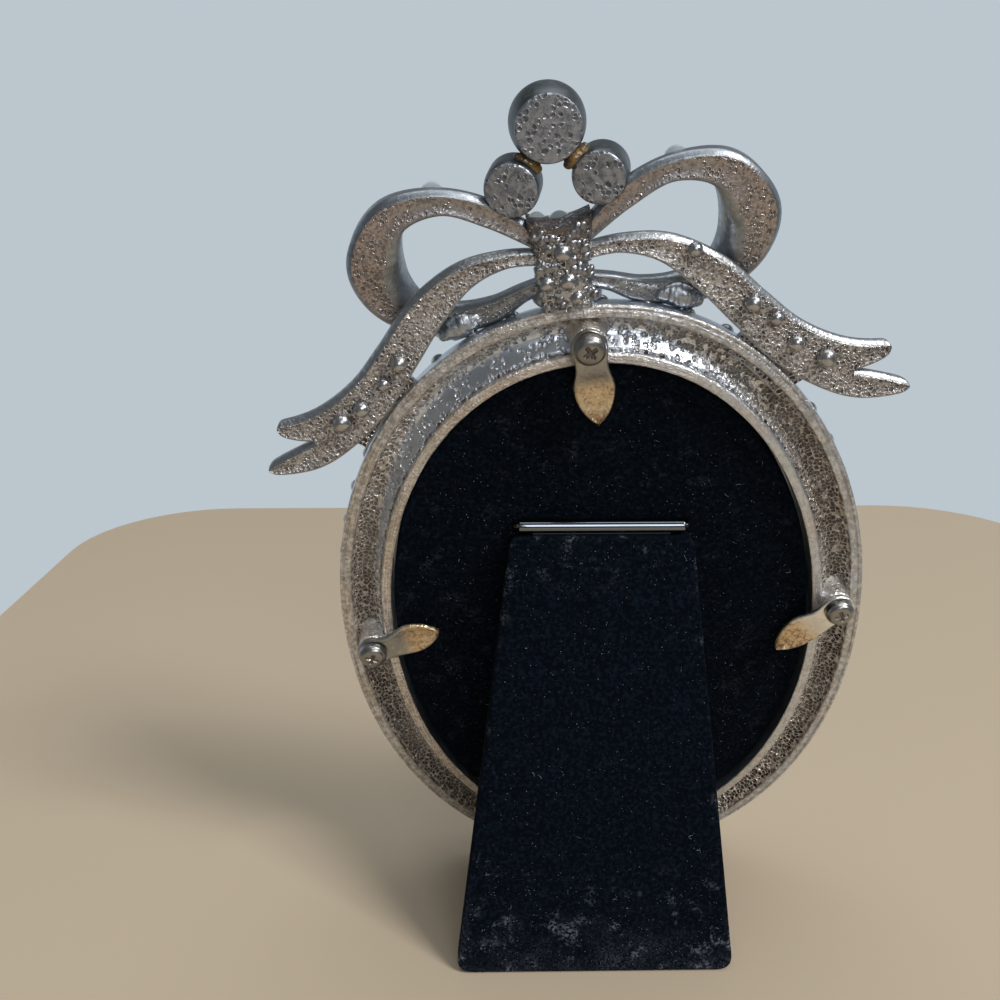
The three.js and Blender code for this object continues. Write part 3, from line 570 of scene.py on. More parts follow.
class Shell:
    """Closed bodies in drawing millimetres, with marks on their points, that become one mesh."""

    def __init__(self, *names: str) -> None:
        """Starts with no bodies.

        Args:
            names: The names of their marks.
        """
        self.names = names
        self.points: list[Points] = []
        self.faces: list[list[int]] = []
        self.marks: dict[str, list[Points]] = {name: [] for name in names}
        self.count = 0

    def loft(self, rows: Points, closed: bool = False, **marks: Any) -> None:
        """Adds a body through closed sections of equally many points, its faces turned outwards.

        Args:
            rows: Points by section and by place in it.
            closed: Whether the last section joins the first; otherwise both ends are capped.
            marks: A number or vector for each point, or one for them all.
        """
        runs, around = rows.shape[:2]
        index = np.arange(runs * around).reshape(runs, around)
        lower = index if closed else index[:-1]
        upper = np.roll(index, -1, axis=0)[: len(lower)]
        corners = [lower, upper, np.roll(upper, -1, axis=1), np.roll(lower, -1, axis=1)]
        quads = np.stack(corners, axis=-1).reshape(-1, 4)
        points = rows.reshape(-1, 3)
        fans = np.empty((0, 3), int)
        if not closed:
            hubs = np.full((2, around), runs * around) + [[0], [1]]
            start = np.stack([hubs[0], index[0], np.roll(index[0], -1)], axis=-1)
            end = np.stack([hubs[1], np.roll(index[-1], -1), index[-1]], axis=-1)
            fans = np.concatenate([start, end])
            points = np.vstack([points, rows[[0, -1]].mean(axis=1)])
        triangles = np.concatenate([quads[:, [0, 1, 2]], quads[:, [0, 2, 3]], fans])
        a, b, c = (points[triangles[:, i]] for i in range(3))
        if (a * np.cross(b, c)).sum() < 0:
            quads, fans = quads[:, ::-1], fans[:, ::-1]
        self.faces += (quads + self.count).tolist() + (fans + self.count).tolist()
        self.points.append(points)
        self.count += len(points)
        for name in self.names:
            wide = 3 if name == "grain" else 1
            given = np.asarray(marks.get(name, 0.0), float)
            given = given if wide == 3 and given.ndim else given[..., None]
            given = np.broadcast_to(given, (runs, around, wide))
            ends = np.empty((0, wide)) if closed else given[[0, -1]].mean(axis=1)
            self.marks[name].append(np.vstack([given.reshape(-1, wide), ends]))

    def build(self, name: str, placement: Placement, finish: Finish) -> bpy.types.Object:
        """Makes the mesh and its object.

        Args:
            name: The piece's name.
            placement: Where the drawing is.
            finish: What it is dressed in.

        Returns:
            The object, in the scene.
        """
        mesh = bpy.data.meshes.new(name)
        mesh.from_pydata(placement.place(np.vstack(self.points)).tolist(), [], self.faces)
        for mark, given in self.marks.items():
            vector = mark == "grain"
            attribute = mesh.attributes.new(mark, "FLOAT_VECTOR" if vector else "FLOAT", "POINT")
            values = np.vstack(given).astype(np.float32).ravel()
            attribute.data.foreach_set("vector" if vector else "value", values)
        mesh.shade_smooth()
        mesh.set_sharp_from_angle(angle=SHARP)
        mesh.materials.append(finish.material())
        return linked(name, mesh)


def linked(name: str, mesh: bpy.types.Mesh) -> bpy.types.Object:
    """Puts a mesh into the scene as an object at the origin.

    Args:
        name: The object's name.
        mesh: The mesh.

    Returns:
        The object.
    """
    made = bpy.data.objects.new(name, mesh)
    bpy.context.scene.collection.objects.link(made)
    return made


def turned_rows(profile: Points, sides: int, x: float = 0.0, y: float = 0.0) -> Points:
    """Turns a profile about z.

    Args:
        profile: Rows of radius and z.
        sides: Steps round the axis.
        x: The axis's place.
        y: The axis's place.

    Returns:
        Points by profile place and by step.
    """
    turn = np.linspace(0, 2 * np.pi, sides, endpoint=False)
    radius, height = profile[:, :1], profile[:, 1:]
    rows = np.broadcast_arrays(x + radius * np.cos(turn), y + radius * np.sin(turn), height)
    return np.stack(rows, axis=-1)


def line(start: Pair, end: Pair, count: int) -> Points:
    """A straight run of points without its last one."""
    share = np.linspace(0, 1, count, endpoint=False)[:, None]
    return np.array(start) * (1 - share) + np.array(end) * share


def bend(start: Pair, middle: Pair, end: Pair, count: int) -> Points:
    """A quadratic bend of points without its last one.

    Args:
        start: Its start.
        middle: Its control point.
        end: Its end.
        count: How many points.

    Returns:
        The points.
    """
    share = np.linspace(0, 1, count, endpoint=False)[:, None]
    outer = np.array(start) * (1 - share) ** 2 + np.array(end) * share**2
    return outer + np.array(middle) * 2 * share * (1 - share)


def chain(start: Pair, *runs: tuple[Any, ...]) -> list[Points]:
    """Straight runs and bends of a profile, each from where the last one ended.

    Args:
        start: The first run's start.
        runs: For each one its count of points, or ready points, then a bend's control point, and its end.

    Returns:
        The points of each run, without its end.
    """
    made = []
    for count, *stops in runs:
        if isinstance(count, np.ndarray):
            made.append(count)
        else:
            made.append(line(start, *stops, count) if len(stops) == 1 else bend(start, *stops, count))
        start = stops[-1]
    return made


def dip(value: Points, middle: float, width: float) -> Points:
    """A soft hollow of depth 1 about a middle."""
    return np.exp(-(((value - middle) / width) ** 2))


def smoothstep(low: float, high: float, value: Points) -> Points:
    """Rises smoothly from 0 at low to 1 at high."""
    share = np.clip((value - low) / (high - low), 0, 1)
    return share * share * (3 - 2 * share)


def signed_power(value: Points, power: float) -> Points:
    """A power that keeps its base's sign."""
    return np.sign(value) * np.abs(value) ** power


def through(stations: Points, steps: int) -> Points:
    """A smooth curve through stations.

    Args:
        stations: Rows of numbers.
        steps: Points from one station to the next.

    Returns:
        Rows along the curve.
    """
    padded = np.vstack([stations[:1], stations, stations[-1:]])
    share = np.linspace(0, 1, steps, endpoint=False)[None, :, None]
    before, here, there, after = (padded[i: len(stations) - 1 + i, None] for i in range(4))
    leave, arrive = (there - before) / 2, (after - here) / 2
    cubic = (2 * here - 2 * there + leave + arrive) * share**3
    square = (3 * there - 3 * here - 2 * leave - arrive) * share**2
    rows = (cubic + square + leave * share + here).reshape(-1, stations.shape[1])
    return np.vstack([rows, stations[-1:]])


def lifted(flat: Points, z: float) -> Points:
    """Points of a flat line, at a height."""
    return np.column_stack([flat, np.full(len(flat), z)])


def grain_at(along: Points, across: Points) -> Points:
    """Places on a casting's surface, along and across it."""
    return np.stack(np.broadcast_arrays(along, across, 0.0), axis=-1)


def both_sides(rows: list[tuple[float, ...]]) -> Points:
    """Rows that start with x, on the left side and then on the right."""
    return np.vstack([np.array(rows) * [side.value, 1.0, 1.0, 1.0] for side in Side])


def run_length(points: Points) -> Points:
    """The length from a line's start to each of its points."""
    return np.concatenate([[0.0], np.cumsum(np.linalg.norm(np.diff(points, axis=0), axis=1))])


def seat(piece: bpy.types.Object, body: Body, slot: Slot, *nodes: str) -> None:
    """Lets a finished piece ride on its body in place of its solids.

    Args:
        piece: The piece.
        body: The body that carries it.
        slot: The record's material slot; not used.
        nodes: The solids that it stands for.
    """
    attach(piece, body.value)
    if nodes:
        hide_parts(*nodes)
    LOG.info("%s on %s, %d faces", piece.name, body.value, len(piece.data.polygons))


class Recipe:
    """A Geometry Nodes tree with named inputs, which ends in one real mesh with its material."""

    def __init__(self, name: str) -> None:
        """Starts the tree.

        Args:
            name: The tree's name.
        """
        self.name = name
        self.tree = bpy.data.node_groups.new(name, "GeometryNodeTree")
        self.graph = Graph(self.tree)
        self.start = self.graph.node("NodeGroupInput").socket.node
        self.tree.interface.new_socket("Geometry", in_out="OUTPUT", socket_type="NodeSocketGeometry")

    def entry(self, name: str, kind: str = "Float") -> Value:
        """Adds a named input of a socket kind."""
        self.tree.interface.new_socket(name, in_out="INPUT", socket_type=f"NodeSocket{kind}")
        return Value(self.graph, Graph.find(self.start.outputs, name))

    def mark(self, name: str, kind: str = "FLOAT") -> Value:
        """A mark on the mesh, read by the tree."""
        settings = {"data_type": kind}
        return self.graph.node("GeometryNodeInputNamedAttribute", settings, {"Name": name}, "Attribute")

    def sample(self, name: str) -> Value:
        """The mesh of an object given as a named input."""
        given = {"Object": self.entry(name, "Object")}
        return self.graph.node("GeometryNodeObjectInfo", inputs=given, output="Geometry")

    def push(self, geometry: Value, distance: Value) -> None:
        """Moves a mesh's points along their normals, and ends the tree.

        Args:
            geometry: The mesh.
            distance: How far, in metres.
        """
        offset = self.graph.scaled(self.graph.node("GeometryNodeInputNormal"), distance)
        moved = {"Geometry": geometry, "Offset": offset}
        self.close(self.graph.node("GeometryNodeSetPosition", inputs=moved))

    def close(self, geometry: Value) -> None:
        """Ends the tree.

        Args:
            geometry: What it has made.
        """
        whole = self.graph.node("GeometryNodeRealizeInstances", inputs={"Geometry": geometry})
        dress = {"Geometry": whole, "Material": self.entry("Material", "Material")}
        dressed = self.graph.node("GeometryNodeSetMaterial", inputs=dress)
        self.graph.node("NodeGroupOutput", inputs={"Geometry": dressed})

    def apply(self, piece: bpy.types.Object, values: Table) -> bpy.types.Object:
        """Runs the tree on a piece and keeps the result as its mesh.

        Args:
            piece: The piece.
            values: The inputs' values, by name.

        Returns:
            The piece.
        """
        modifier = piece.modifiers.new(self.name, "NODES")
        modifier.node_group = self.tree
        for item in self.tree.interface.items_tree:
            if item.item_type == "SOCKET" and item.in_out == "INPUT" and item.name in values:
                modifier[item.identifier] = values[item.name]
        evaluated = piece.evaluated_get(bpy.context.evaluated_depsgraph_get())
        made = bpy.data.meshes.new_from_object(evaluated)
        piece.modifiers.remove(modifier)
        rough, piece.data = piece.data, made
        bpy.data.meshes.remove(rough)
        made.name = piece.name
        return piece


class PitPress(Recipe):
    """Presses round pits into a casting where it is marked for them."""

    def __init__(self) -> None:
        """Builds the tree."""
        super().__init__("pit press")
        body = self.entry("Geometry", "Geometry")
        cells = self.entry("Pitch"), self.entry("Wide")
        bowl, rim = self.graph.pits(self.mark("grain", "FLOAT_VECTOR"), self.mark("pits"), *cells)
        self.push(body, (rim * 0.3 - bowl) * self.entry("Depth"))

    def press(self, piece: bpy.types.Object, finish: CastMetal, depth: float) -> bpy.types.Object:
        """Presses a piece's pits to a depth in millimetres, at its finish's pitch."""
        sizes = {"Pitch": finish.pitch, "Wide": finish.wide, "Depth": depth * MM}
        return self.apply(piece, sizes | {"Material": finish.material()})


class BeadSetter(Recipe):
    """Sets a bead, stone or drop on each of a row of points, by the point's radius."""

    def __init__(self) -> None:
        """Builds the tree."""
        super().__init__("bead setter")
        graph = self.graph
        places = self.entry("Geometry", "Geometry")
        sizes = {"Points": places, "Instance": self.sample("Bead"), "Scale": self.mark("radius")}
        beads = graph.node("GeometryNodeInstanceOnPoints", inputs=sizes)
        whole = graph.node("GeometryNodeRealizeInstances", inputs={"Geometry": beads})
        uneven = (graph.noise(graph.node("GeometryNodeInputPosition"), 600.0) - 0.5) * self.entry("Wobble")
        self.push(whole, uneven)

    def set(self, name: str, rows: Points, placement: Placement, profile: Points, finish: Finish,
            wobble: float = 0.0) -> bpy.types.Object:
        """Makes one piece of all the beads of a kind.

        Args:
            name: The piece's name.
            rows: Each bead's x, y, z and radius, in drawing millimetres.
            placement: Where the drawing is.
            profile: Radius and z of a bead of radius 1.
            finish: What the beads are dressed in.
            wobble: How uneven they are, in millimetres.

        Returns:
            The piece.
        """
        sample = Shell()
        sample.loft(turned_rows(profile, ROUND_SIDES))
        bead = sample.build(f"{name}_sample", placement.at_origin(), finish)
        mesh = bpy.data.meshes.new(name)
        mesh.from_pydata(placement.place(rows[:, :3]).tolist(), [], [])
        radius = mesh.attributes.new("radius", "FLOAT", "POINT")
        radius.data.foreach_set("value", rows[:, 3].astype(np.float32))
        values = {"Bead": bead, "Wobble": wobble * MM, "Material": finish.material()}
        made = self.apply(linked(name, mesh), values)
        bpy.data.objects.remove(bead)
        return made


class LintScatter(Recipe):
    """Scatters lint over cloth where it is marked for it."""

    def __init__(self) -> None:
        """Builds the tree."""
        super().__init__("lint scatter")
        graph = self.graph
        cloth = self.entry("Geometry", "Geometry")
        fibre = self.sample("Fibre")
        density = self.mark("lint") * self.entry("Density")
        spread = {"Mesh": cloth, "Density": density, "Seed": self.entry("Seed", "Int")}
        places = graph.node("GeometryNodeDistributePointsOnFaces", inputs=spread, output="Points")
        euler = graph.node("ShaderNodeCombineXYZ", inputs={"Z": self.chance(0.0, math.tau, 3)})
        turn = graph.node("FunctionNodeRotateRotation", {"rotation_space": "LOCAL"}, {
            "Rotation": places.other("Rotation"),
            "Rotate By": graph.node("FunctionNodeEulerToRotation", inputs={"Euler": euler}),
        })
        size = self.chance(0.35, 1.5, 8)
        laid = {"Points": places, "Instance": fibre, "Rotation": turn, "Scale": size}
        self.close(graph.node("GeometryNodeInstanceOnPoints", inputs=laid))

    def chance(self, low: float, high: float, seed: int) -> Value:
        """A number by chance for each fibre."""
        ends = {"Min": low, "Max": high, "Seed": seed}
        return self.graph.node("FunctionNodeRandomValue", inputs=ends, output="Value")

    def scatter(self, name: str, cloth: bpy.types.Object, fibre: Points, density: float,
                seed: int) -> bpy.types.Object:
        """Makes one piece of lint on a cloth.

        Args:
            name: The piece's name.
            cloth: The cloth.
            fibre: A fibre's sections, in millimetres on a flat ground.
            density: Fibres to a square metre.
            seed: The seed of their places.

        Returns:
            The piece.
        """
        sample = Shell()
        sample.loft(fibre)
        fluff = sample.build(f"{name}_sample", Placement(Matrix.Scale(MM, 4)), LINT)
        made = linked(name, cloth.data.copy())
        self.apply(made, {"Fibre": fluff, "Density": density, "Seed": seed, "Material": LINT.material()})
        bpy.data.objects.remove(fluff)
        return made

    def scatter_all(self, cloth: bpy.types.Object, *kinds: tuple[Any, ...]) -> list[bpy.types.Object]:
        """Scatters several kinds of lint on a cloth, each by name, fibre, density and seed."""
        return [self.scatter(name, cloth, *kind) for name, *kind in kinds]


class WireBender(Recipe):
    """Sweeps a round wire along a line."""

    def __init__(self) -> None:
        """Builds the tree."""
        super().__init__("wire bender")
        graph = self.graph
        curve = graph.node("GeometryNodeMeshToCurve", inputs={"Mesh": self.entry("Geometry", "Geometry")})
        round_wire = {"Resolution": ROUND_SIDES, "Radius": self.entry("Radius")}
        ring = graph.node("GeometryNodeCurvePrimitiveCircle", inputs=round_wire)
        sweep = {"Curve": curve, "Profile Curve": ring, "Fill Caps": True}
        wire = graph.node("GeometryNodeCurveToMesh", inputs=sweep)
        self.close(graph.node("GeometryNodeSetShadeSmooth", inputs={"Geometry": wire}))


@dataclass(frozen=True)
class Workshop:
    """The recipes that the sub-assemblies share."""

    pits: PitPress
    beads: BeadSetter
    lint: LintScatter
    wire: WireBender

    def cast(self, shell: Shell, name: str, place: Placement, finish: CastMetal, depth: float,
             node: str) -> None:
        """Makes one of the frame's silver castings.

        Args:
            shell: Its drawing.
            name: The piece's name.
            place: Where the drawing is.
            finish: What it is dressed in.
            depth: How deep its pits are, in millimetres.
            node: The solid that it stands for.
        """
        piece = self.pits.press(shell.build(name, place, finish), finish, depth)
        seat(piece, Body.FRAME, Slot.SILVER, node)


def ball(steps: int = 12) -> Points:
    """The profile of a round bead of radius 1."""
    turn = np.linspace(0, np.pi, steps + 2)[1:-1]
    return np.stack([np.sin(turn), np.cos(turn)], axis=-1)


def cabochon(girdle: float, dome: float, steps: int = 10) -> Points:
    """The profile of a domed stone of radius 1, its flat base at 0 and its dome below.

    Args:
        girdle: The height of its straight side.
        dome: The height of its dome.
        steps: Points on the dome.

    Returns:
        Rows of radius and z.
    """
    turn = np.linspace(0, np.pi / 2, steps, endpoint=False)
    crown = np.stack([np.cos(turn), -girdle - dome * np.sin(turn)], axis=-1)
    return np.vstack([[[0.9, 0.0], [1.0, -0.1 * girdle]], crown])


@dataclass
class OvalRing:
    """The cast ring with its rabbet, pitted channel, three posts and edge beads."""

    place: Placement
    shop: Workshop
    half_width: float = 40.0
    half_height: float = 53.8
    fullness: float = 2.08
    land: float = 1.4
    channel: float = 4.9
    channel_depth: float = 1.9
    channel_skew: float = 0.9
    crease: float = 0.22
    crease_at: float = 0.95
    crease_width: float = 0.035
    scribe: float = 0.16
    scribe_at: float = 0.62
    scribe_width: float = 0.1
    lip: float = 1.5
    lip_rise: float = 0.9
    lip_round: float = 0.25
    corner: float = 0.35
    ledge: float = 2.6
    ledge_back: float = -4.75
    front: float = -6.05
    outer_wall: float = 1.6
    roll_width: float = 6.2
    roll_height: float = 1.9
    bead_count: int = 50
    bead_radius: float = 1.15
    bead_stand: float = 0.32
    post_radius: float = 2.3
    post_top: float = 2.0
    post_inset: float = 4.4
    post_round: float = 0.3
    post_bore: float = 1.05
    post_bore_depth: float = 0.4
    post_foot: tuple[Pair, ...] = ((0.0, 0.2), (0.0, -1.2), (0.7, -1.8), (0.7, -2.3))
    post_sides: int = 48
    posts: tuple[float, ...] = (89.0, 178.0, 2.0)
    pit_depth: float = 0.18
    stations: int = 1300

    def band_width(self) -> float:
        """The width from the ring's outer edge to its rabbet."""
        return self.land + self.channel + self.lip

    def edge(self, angle: Points, inset: Points | float) -> Points:
        """Points of the oval's outer edge moved inwards, square to the edge.

        Args:
            angle: Places round the oval.
            inset: How far inwards.

        Returns:
            Points in the ring's plane.
        """
        across = signed_power(np.cos(angle), 2 / self.fullness)
        up = signed_power(np.sin(angle), 2 / self.fullness)
        outward = np.stack([self.half_height * signed_power(across, self.fullness - 1),
                            self.half_width * signed_power(up, self.fullness - 1)], axis=-1)
        outward /= np.linalg.norm(outward, axis=-1, keepdims=True)
        rim = np.stack([self.half_width * across, self.half_height * up], axis=-1)
        return rim - outward * np.asarray(inset)[..., None]

    def post_axis(self, degrees: float) -> Points:
        """A post's axis in the ring's plane."""
        return self.edge(np.array(math.radians(degrees)), self.post_inset)

    def even_angles(self, count: int, start: float) -> tuple[Points, float]:
        """Evenly spaced places round the oval.

        Args:
            count: How many.
            start: The first one's angle.

        Returns:
            Their angles, and the way round.
        """
        fine = start + np.linspace(0, 2 * np.pi, 9001)
        length = run_length(self.edge(fine, 0.0))
        steps = np.linspace(0, length[-1], count, endpoint=False)
        return np.interp(steps, length, fine), float(length[-1])

    def section(self) -> tuple[Points, Points, Points]:
        """The section round the back, the rabbet and the front.

        Returns:
            Inset and z of its points, their zones, and how far across the channel each one is.
        """
        start, end, band = self.land + self.corner, self.land + self.channel, self.band_width()
        sight, top, rim = band + self.ledge, self.lip_rise, band - self.lip_round
        share = np.linspace(0, 1, 24, endpoint=False)
        chord = -self.corner + share * self.lip_rise
        depth = self.channel_depth * np.sin(np.pi * share**self.channel_skew)
        crease = self.crease * dip(share, self.crease_at, self.crease_width)
        hollow = np.stack([start + share * (end - start), chord - depth - crease], axis=-1)
        flat = line((self.corner, 0), (self.land, 0), 9)
        flat[:, 1] -= self.scribe * dip(flat[:, 0], self.scribe_at, self.scribe_width)
        turn = np.linspace(0, 1, 10, endpoint=False)
        base = self.front + self.corner + turn * (-self.outer_wall - self.front - self.corner)
        roll = np.stack([self.roll_width / 2 * (1 + np.cos(np.pi * turn)),
                         base - self.roll_height * np.sin(np.pi * turn)], axis=-1)
        runs = (
            (Zone.PLAIN, 3, (0, -self.corner)),
            (Zone.LAND, 4, (0, 0), (self.corner, 0)),
            (Zone.LAND, flat, (self.land, 0)),
            (Zone.LAND, 3, (start, 0), (start, -self.corner)),
            (Zone.CHANNEL, hollow, (end, top - self.corner)),
            (Zone.LIP, 3, (end, top), (end + self.corner, top)),
            (Zone.LIP, 4, (rim, top)),
            (Zone.LIP, 3, (band, top), (band, top - self.lip_round)),
            (Zone.PLAIN, 2, (band, self.ledge_back)),
            (Zone.PLAIN, 2, (sight, self.ledge_back)),
            (Zone.PLAIN, 1, (sight, self.front + self.corner)),
            (Zone.PLAIN, 3, (sight, self.front), (sight - self.corner, self.front)),
            (Zone.PLAIN, 2, (self.roll_width, self.front + self.corner)),
            (Zone.PLAIN, roll, (0, -self.outer_wall)),
        )
        parts = chain((0, -self.outer_wall), *(run for _, *run in runs))
        points = np.vstack(parts)
        zones = np.concatenate([np.full(len(part), run[0].value) for run, part in zip(runs, parts)])
        return points, zones, np.clip((points[:, 0] - start) / (end - start), 0, 1)

    def band(self) -> Shell:
        """The ring's body, marked for its pits and its colours.

        Returns:
            The body.
        """
        points, zones, share = self.section()
        angles, around = self.even_angles(self.stations, -np.pi / 2)
        flat = self.edge(np.repeat(angles[:, None], len(points), axis=1), points[:, 0])
        rows = np.concatenate([flat, np.broadcast_to(points[:, 1:], flat.shape[:2] + (1,))], axis=-1)
        along = np.linspace(0, around, self.stations, endpoint=False)[:, None]
        grain = grain_at(along, run_length(points))
        up, left = np.sin(angles)[:, None], -np.cos(angles)[:, None]
        high, top = np.clip(up + 0.35 * left, 0, 1) ** 3, np.clip(up, 0, 1) ** 2
        limit = 1.0 - 0.6 * high
        inner = smoothstep(-0.2, 0.16, share - limit)
        plain, land, channel, lip = (zones == zone.value for zone in Zone)
        pits = channel * smoothstep(0.02, 0.1, share) * (1.04 - 0.5 * inner) * (1 - 0.3 * top)
        nearest = np.full(flat.shape[:2], np.inf)
        for degrees in self.posts:
            nearest = np.minimum(nearest, np.linalg.norm(flat - self.post_axis(degrees), axis=-1))
        pits = pits * smoothstep(1.9, 2.6, nearest)
        # Painted shade at the channel's edge by the land and in its crease, and grime on the land and the
        # lip.
        corners = dip(share, 0.0, 0.07) + dip(share, self.crease_at, 0.04)
        soil = 0.9 * channel * corners + 0.3 * land + 0.1 * lip
        gilt = np.clip(0.7 * left + 0.4, 0, 1)
        tone = 0.3 + lip * (0.65 * gilt - 0.15) + land * (0.4 * gilt - 0.2) - 0.65 * plain
        # The top term is painted light: towards the ring's top the channel is toned paler and its pits less
        # stained, so it reads lighter.
        tone = tone + channel * (0.45 - 0.9 * inner - 0.45 * top)
        body = Shell(*METAL_MARKS)
        body.loft(rows, closed=True, grain=grain, pits=pits, tone=tone, soil=soil)
        return body

    def post_profile(self) -> Points:
        """Draws a post, from its top to its filleted foot.

        Returns:
            Rows of radius and z.
        """
        top, side, bore, r = self.post_top, self.post_radius, self.post_bore, self.post_round
        shaft, bow, toe, end = ((side + out, z) for out, z in self.post_foot)
        runs = ((2, (bore, top)), (4, (side - r, top)), (5, (side, top), (side, top - r)), (4, shaft),
                (8, bow, toe))
        return np.vstack([*chain((bore, top - self.post_bore_depth), *runs), [end]])

    def build(self) -> None:
        """Makes the ring and its beads."""
        body = self.band()
        for degrees in self.posts:
            body.loft(turned_rows(self.post_profile(), self.post_sides, *self.post_axis(degrees)), tone=0.5)
        self.shop.cast(body, "ring", self.place, RING_SILVER, self.pit_depth, "frame_ring")
        angles, _ = self.even_angles(self.bead_count, 0.0)
        rims = self.edge(angles, self.bead_radius - self.bead_stand)
        row = -self.outer_wall - self.bead_radius
        rows = np.column_stack([rims, np.full(len(rims), row), np.full(len(rims), self.bead_radius)])
        beads = self.shop.beads.set("edge_beads", rows, self.place, ball(), BEAD_SILVER)
        seat(beads, Body.FRAME, Slot.SILVER, "frame_ring")


@dataclass(frozen=True)
class RibbonProfile:
    """The section of a cast ribbon from its inner to its outer edge."""

    outer_bevel: float = 0.72
    bevel_drop: float = 0.9
    dish: float = 0.25
    crown: float = 0.9

    def sections(self, inner: Points, outer: Points, back: Points, depth: Points,
                 turned: Points | float) -> tuple[Points, Points, Points]:
        """Lays the section along two edges.

        Args:
            inner: The inner edge's points.
            outer: The outer edge's points.
            back: Heights of the back face.
            depth: Depths from the back to the front.
            turned: How far the inner edge is turned in.

        Returns:
            Points by section, their places across, and 1 at each place of a section on the back face.
        """
        width = np.linalg.norm(outer - inner, axis=1)[:, None]
        rise, front = back[:, None], (back - depth)[:, None]
        small = np.minimum(np.broadcast_to(turned, len(inner))[:, None], 0.55 * width)
        fall = np.minimum(small, 0.6 * depth[:, None])
        bevel = np.minimum(self.outer_bevel, 0.3 * width)
        crown = np.minimum(self.crown, 0.4 * depth[:, None])
        turn = np.linspace(0, np.pi / 2, 8)[None]
        face, slope, wall, belly, rest = (np.linspace(0, 1, n)[None, 1:] for n in (17, 6, 4, 14, 4))
        drop = self.bevel_drop * bevel
        parts = [
            (small * (1 - np.cos(turn)), rise - fall * (1 - np.sin(turn))),
            (small + (width - bevel - small) * face, rise - self.dish * 4 * face * (1 - face)),
            (width - bevel + bevel * slope, rise - drop * slope**1.5),
            (np.repeat(width, wall.shape[1], axis=1), rise - drop + (front + crown - rise + drop) * wall),
            (width * (1 - belly), front + crown * (2 * belly - 1) ** 2),
            (np.zeros((1, rest.shape[1] - 1)), front + crown + (rise - fall - front - crown) * rest[:, :-1]),
        ]
        across, height = (
            np.concatenate([np.broadcast_to(part, (len(width), part.shape[1])) for part in kind], axis=1)
            for kind in zip(*parts)
        )
        way = ((outer - inner) / width)[:, None]
        points = np.concatenate([inner[:, None] + way * across[..., None], height[..., None]], axis=-1)
        face_share = np.zeros(across.shape[1])
        face_share[turn.shape[1] - 1: turn.shape[1] + face.shape[1]] = 1.0
        return points, across, face_share


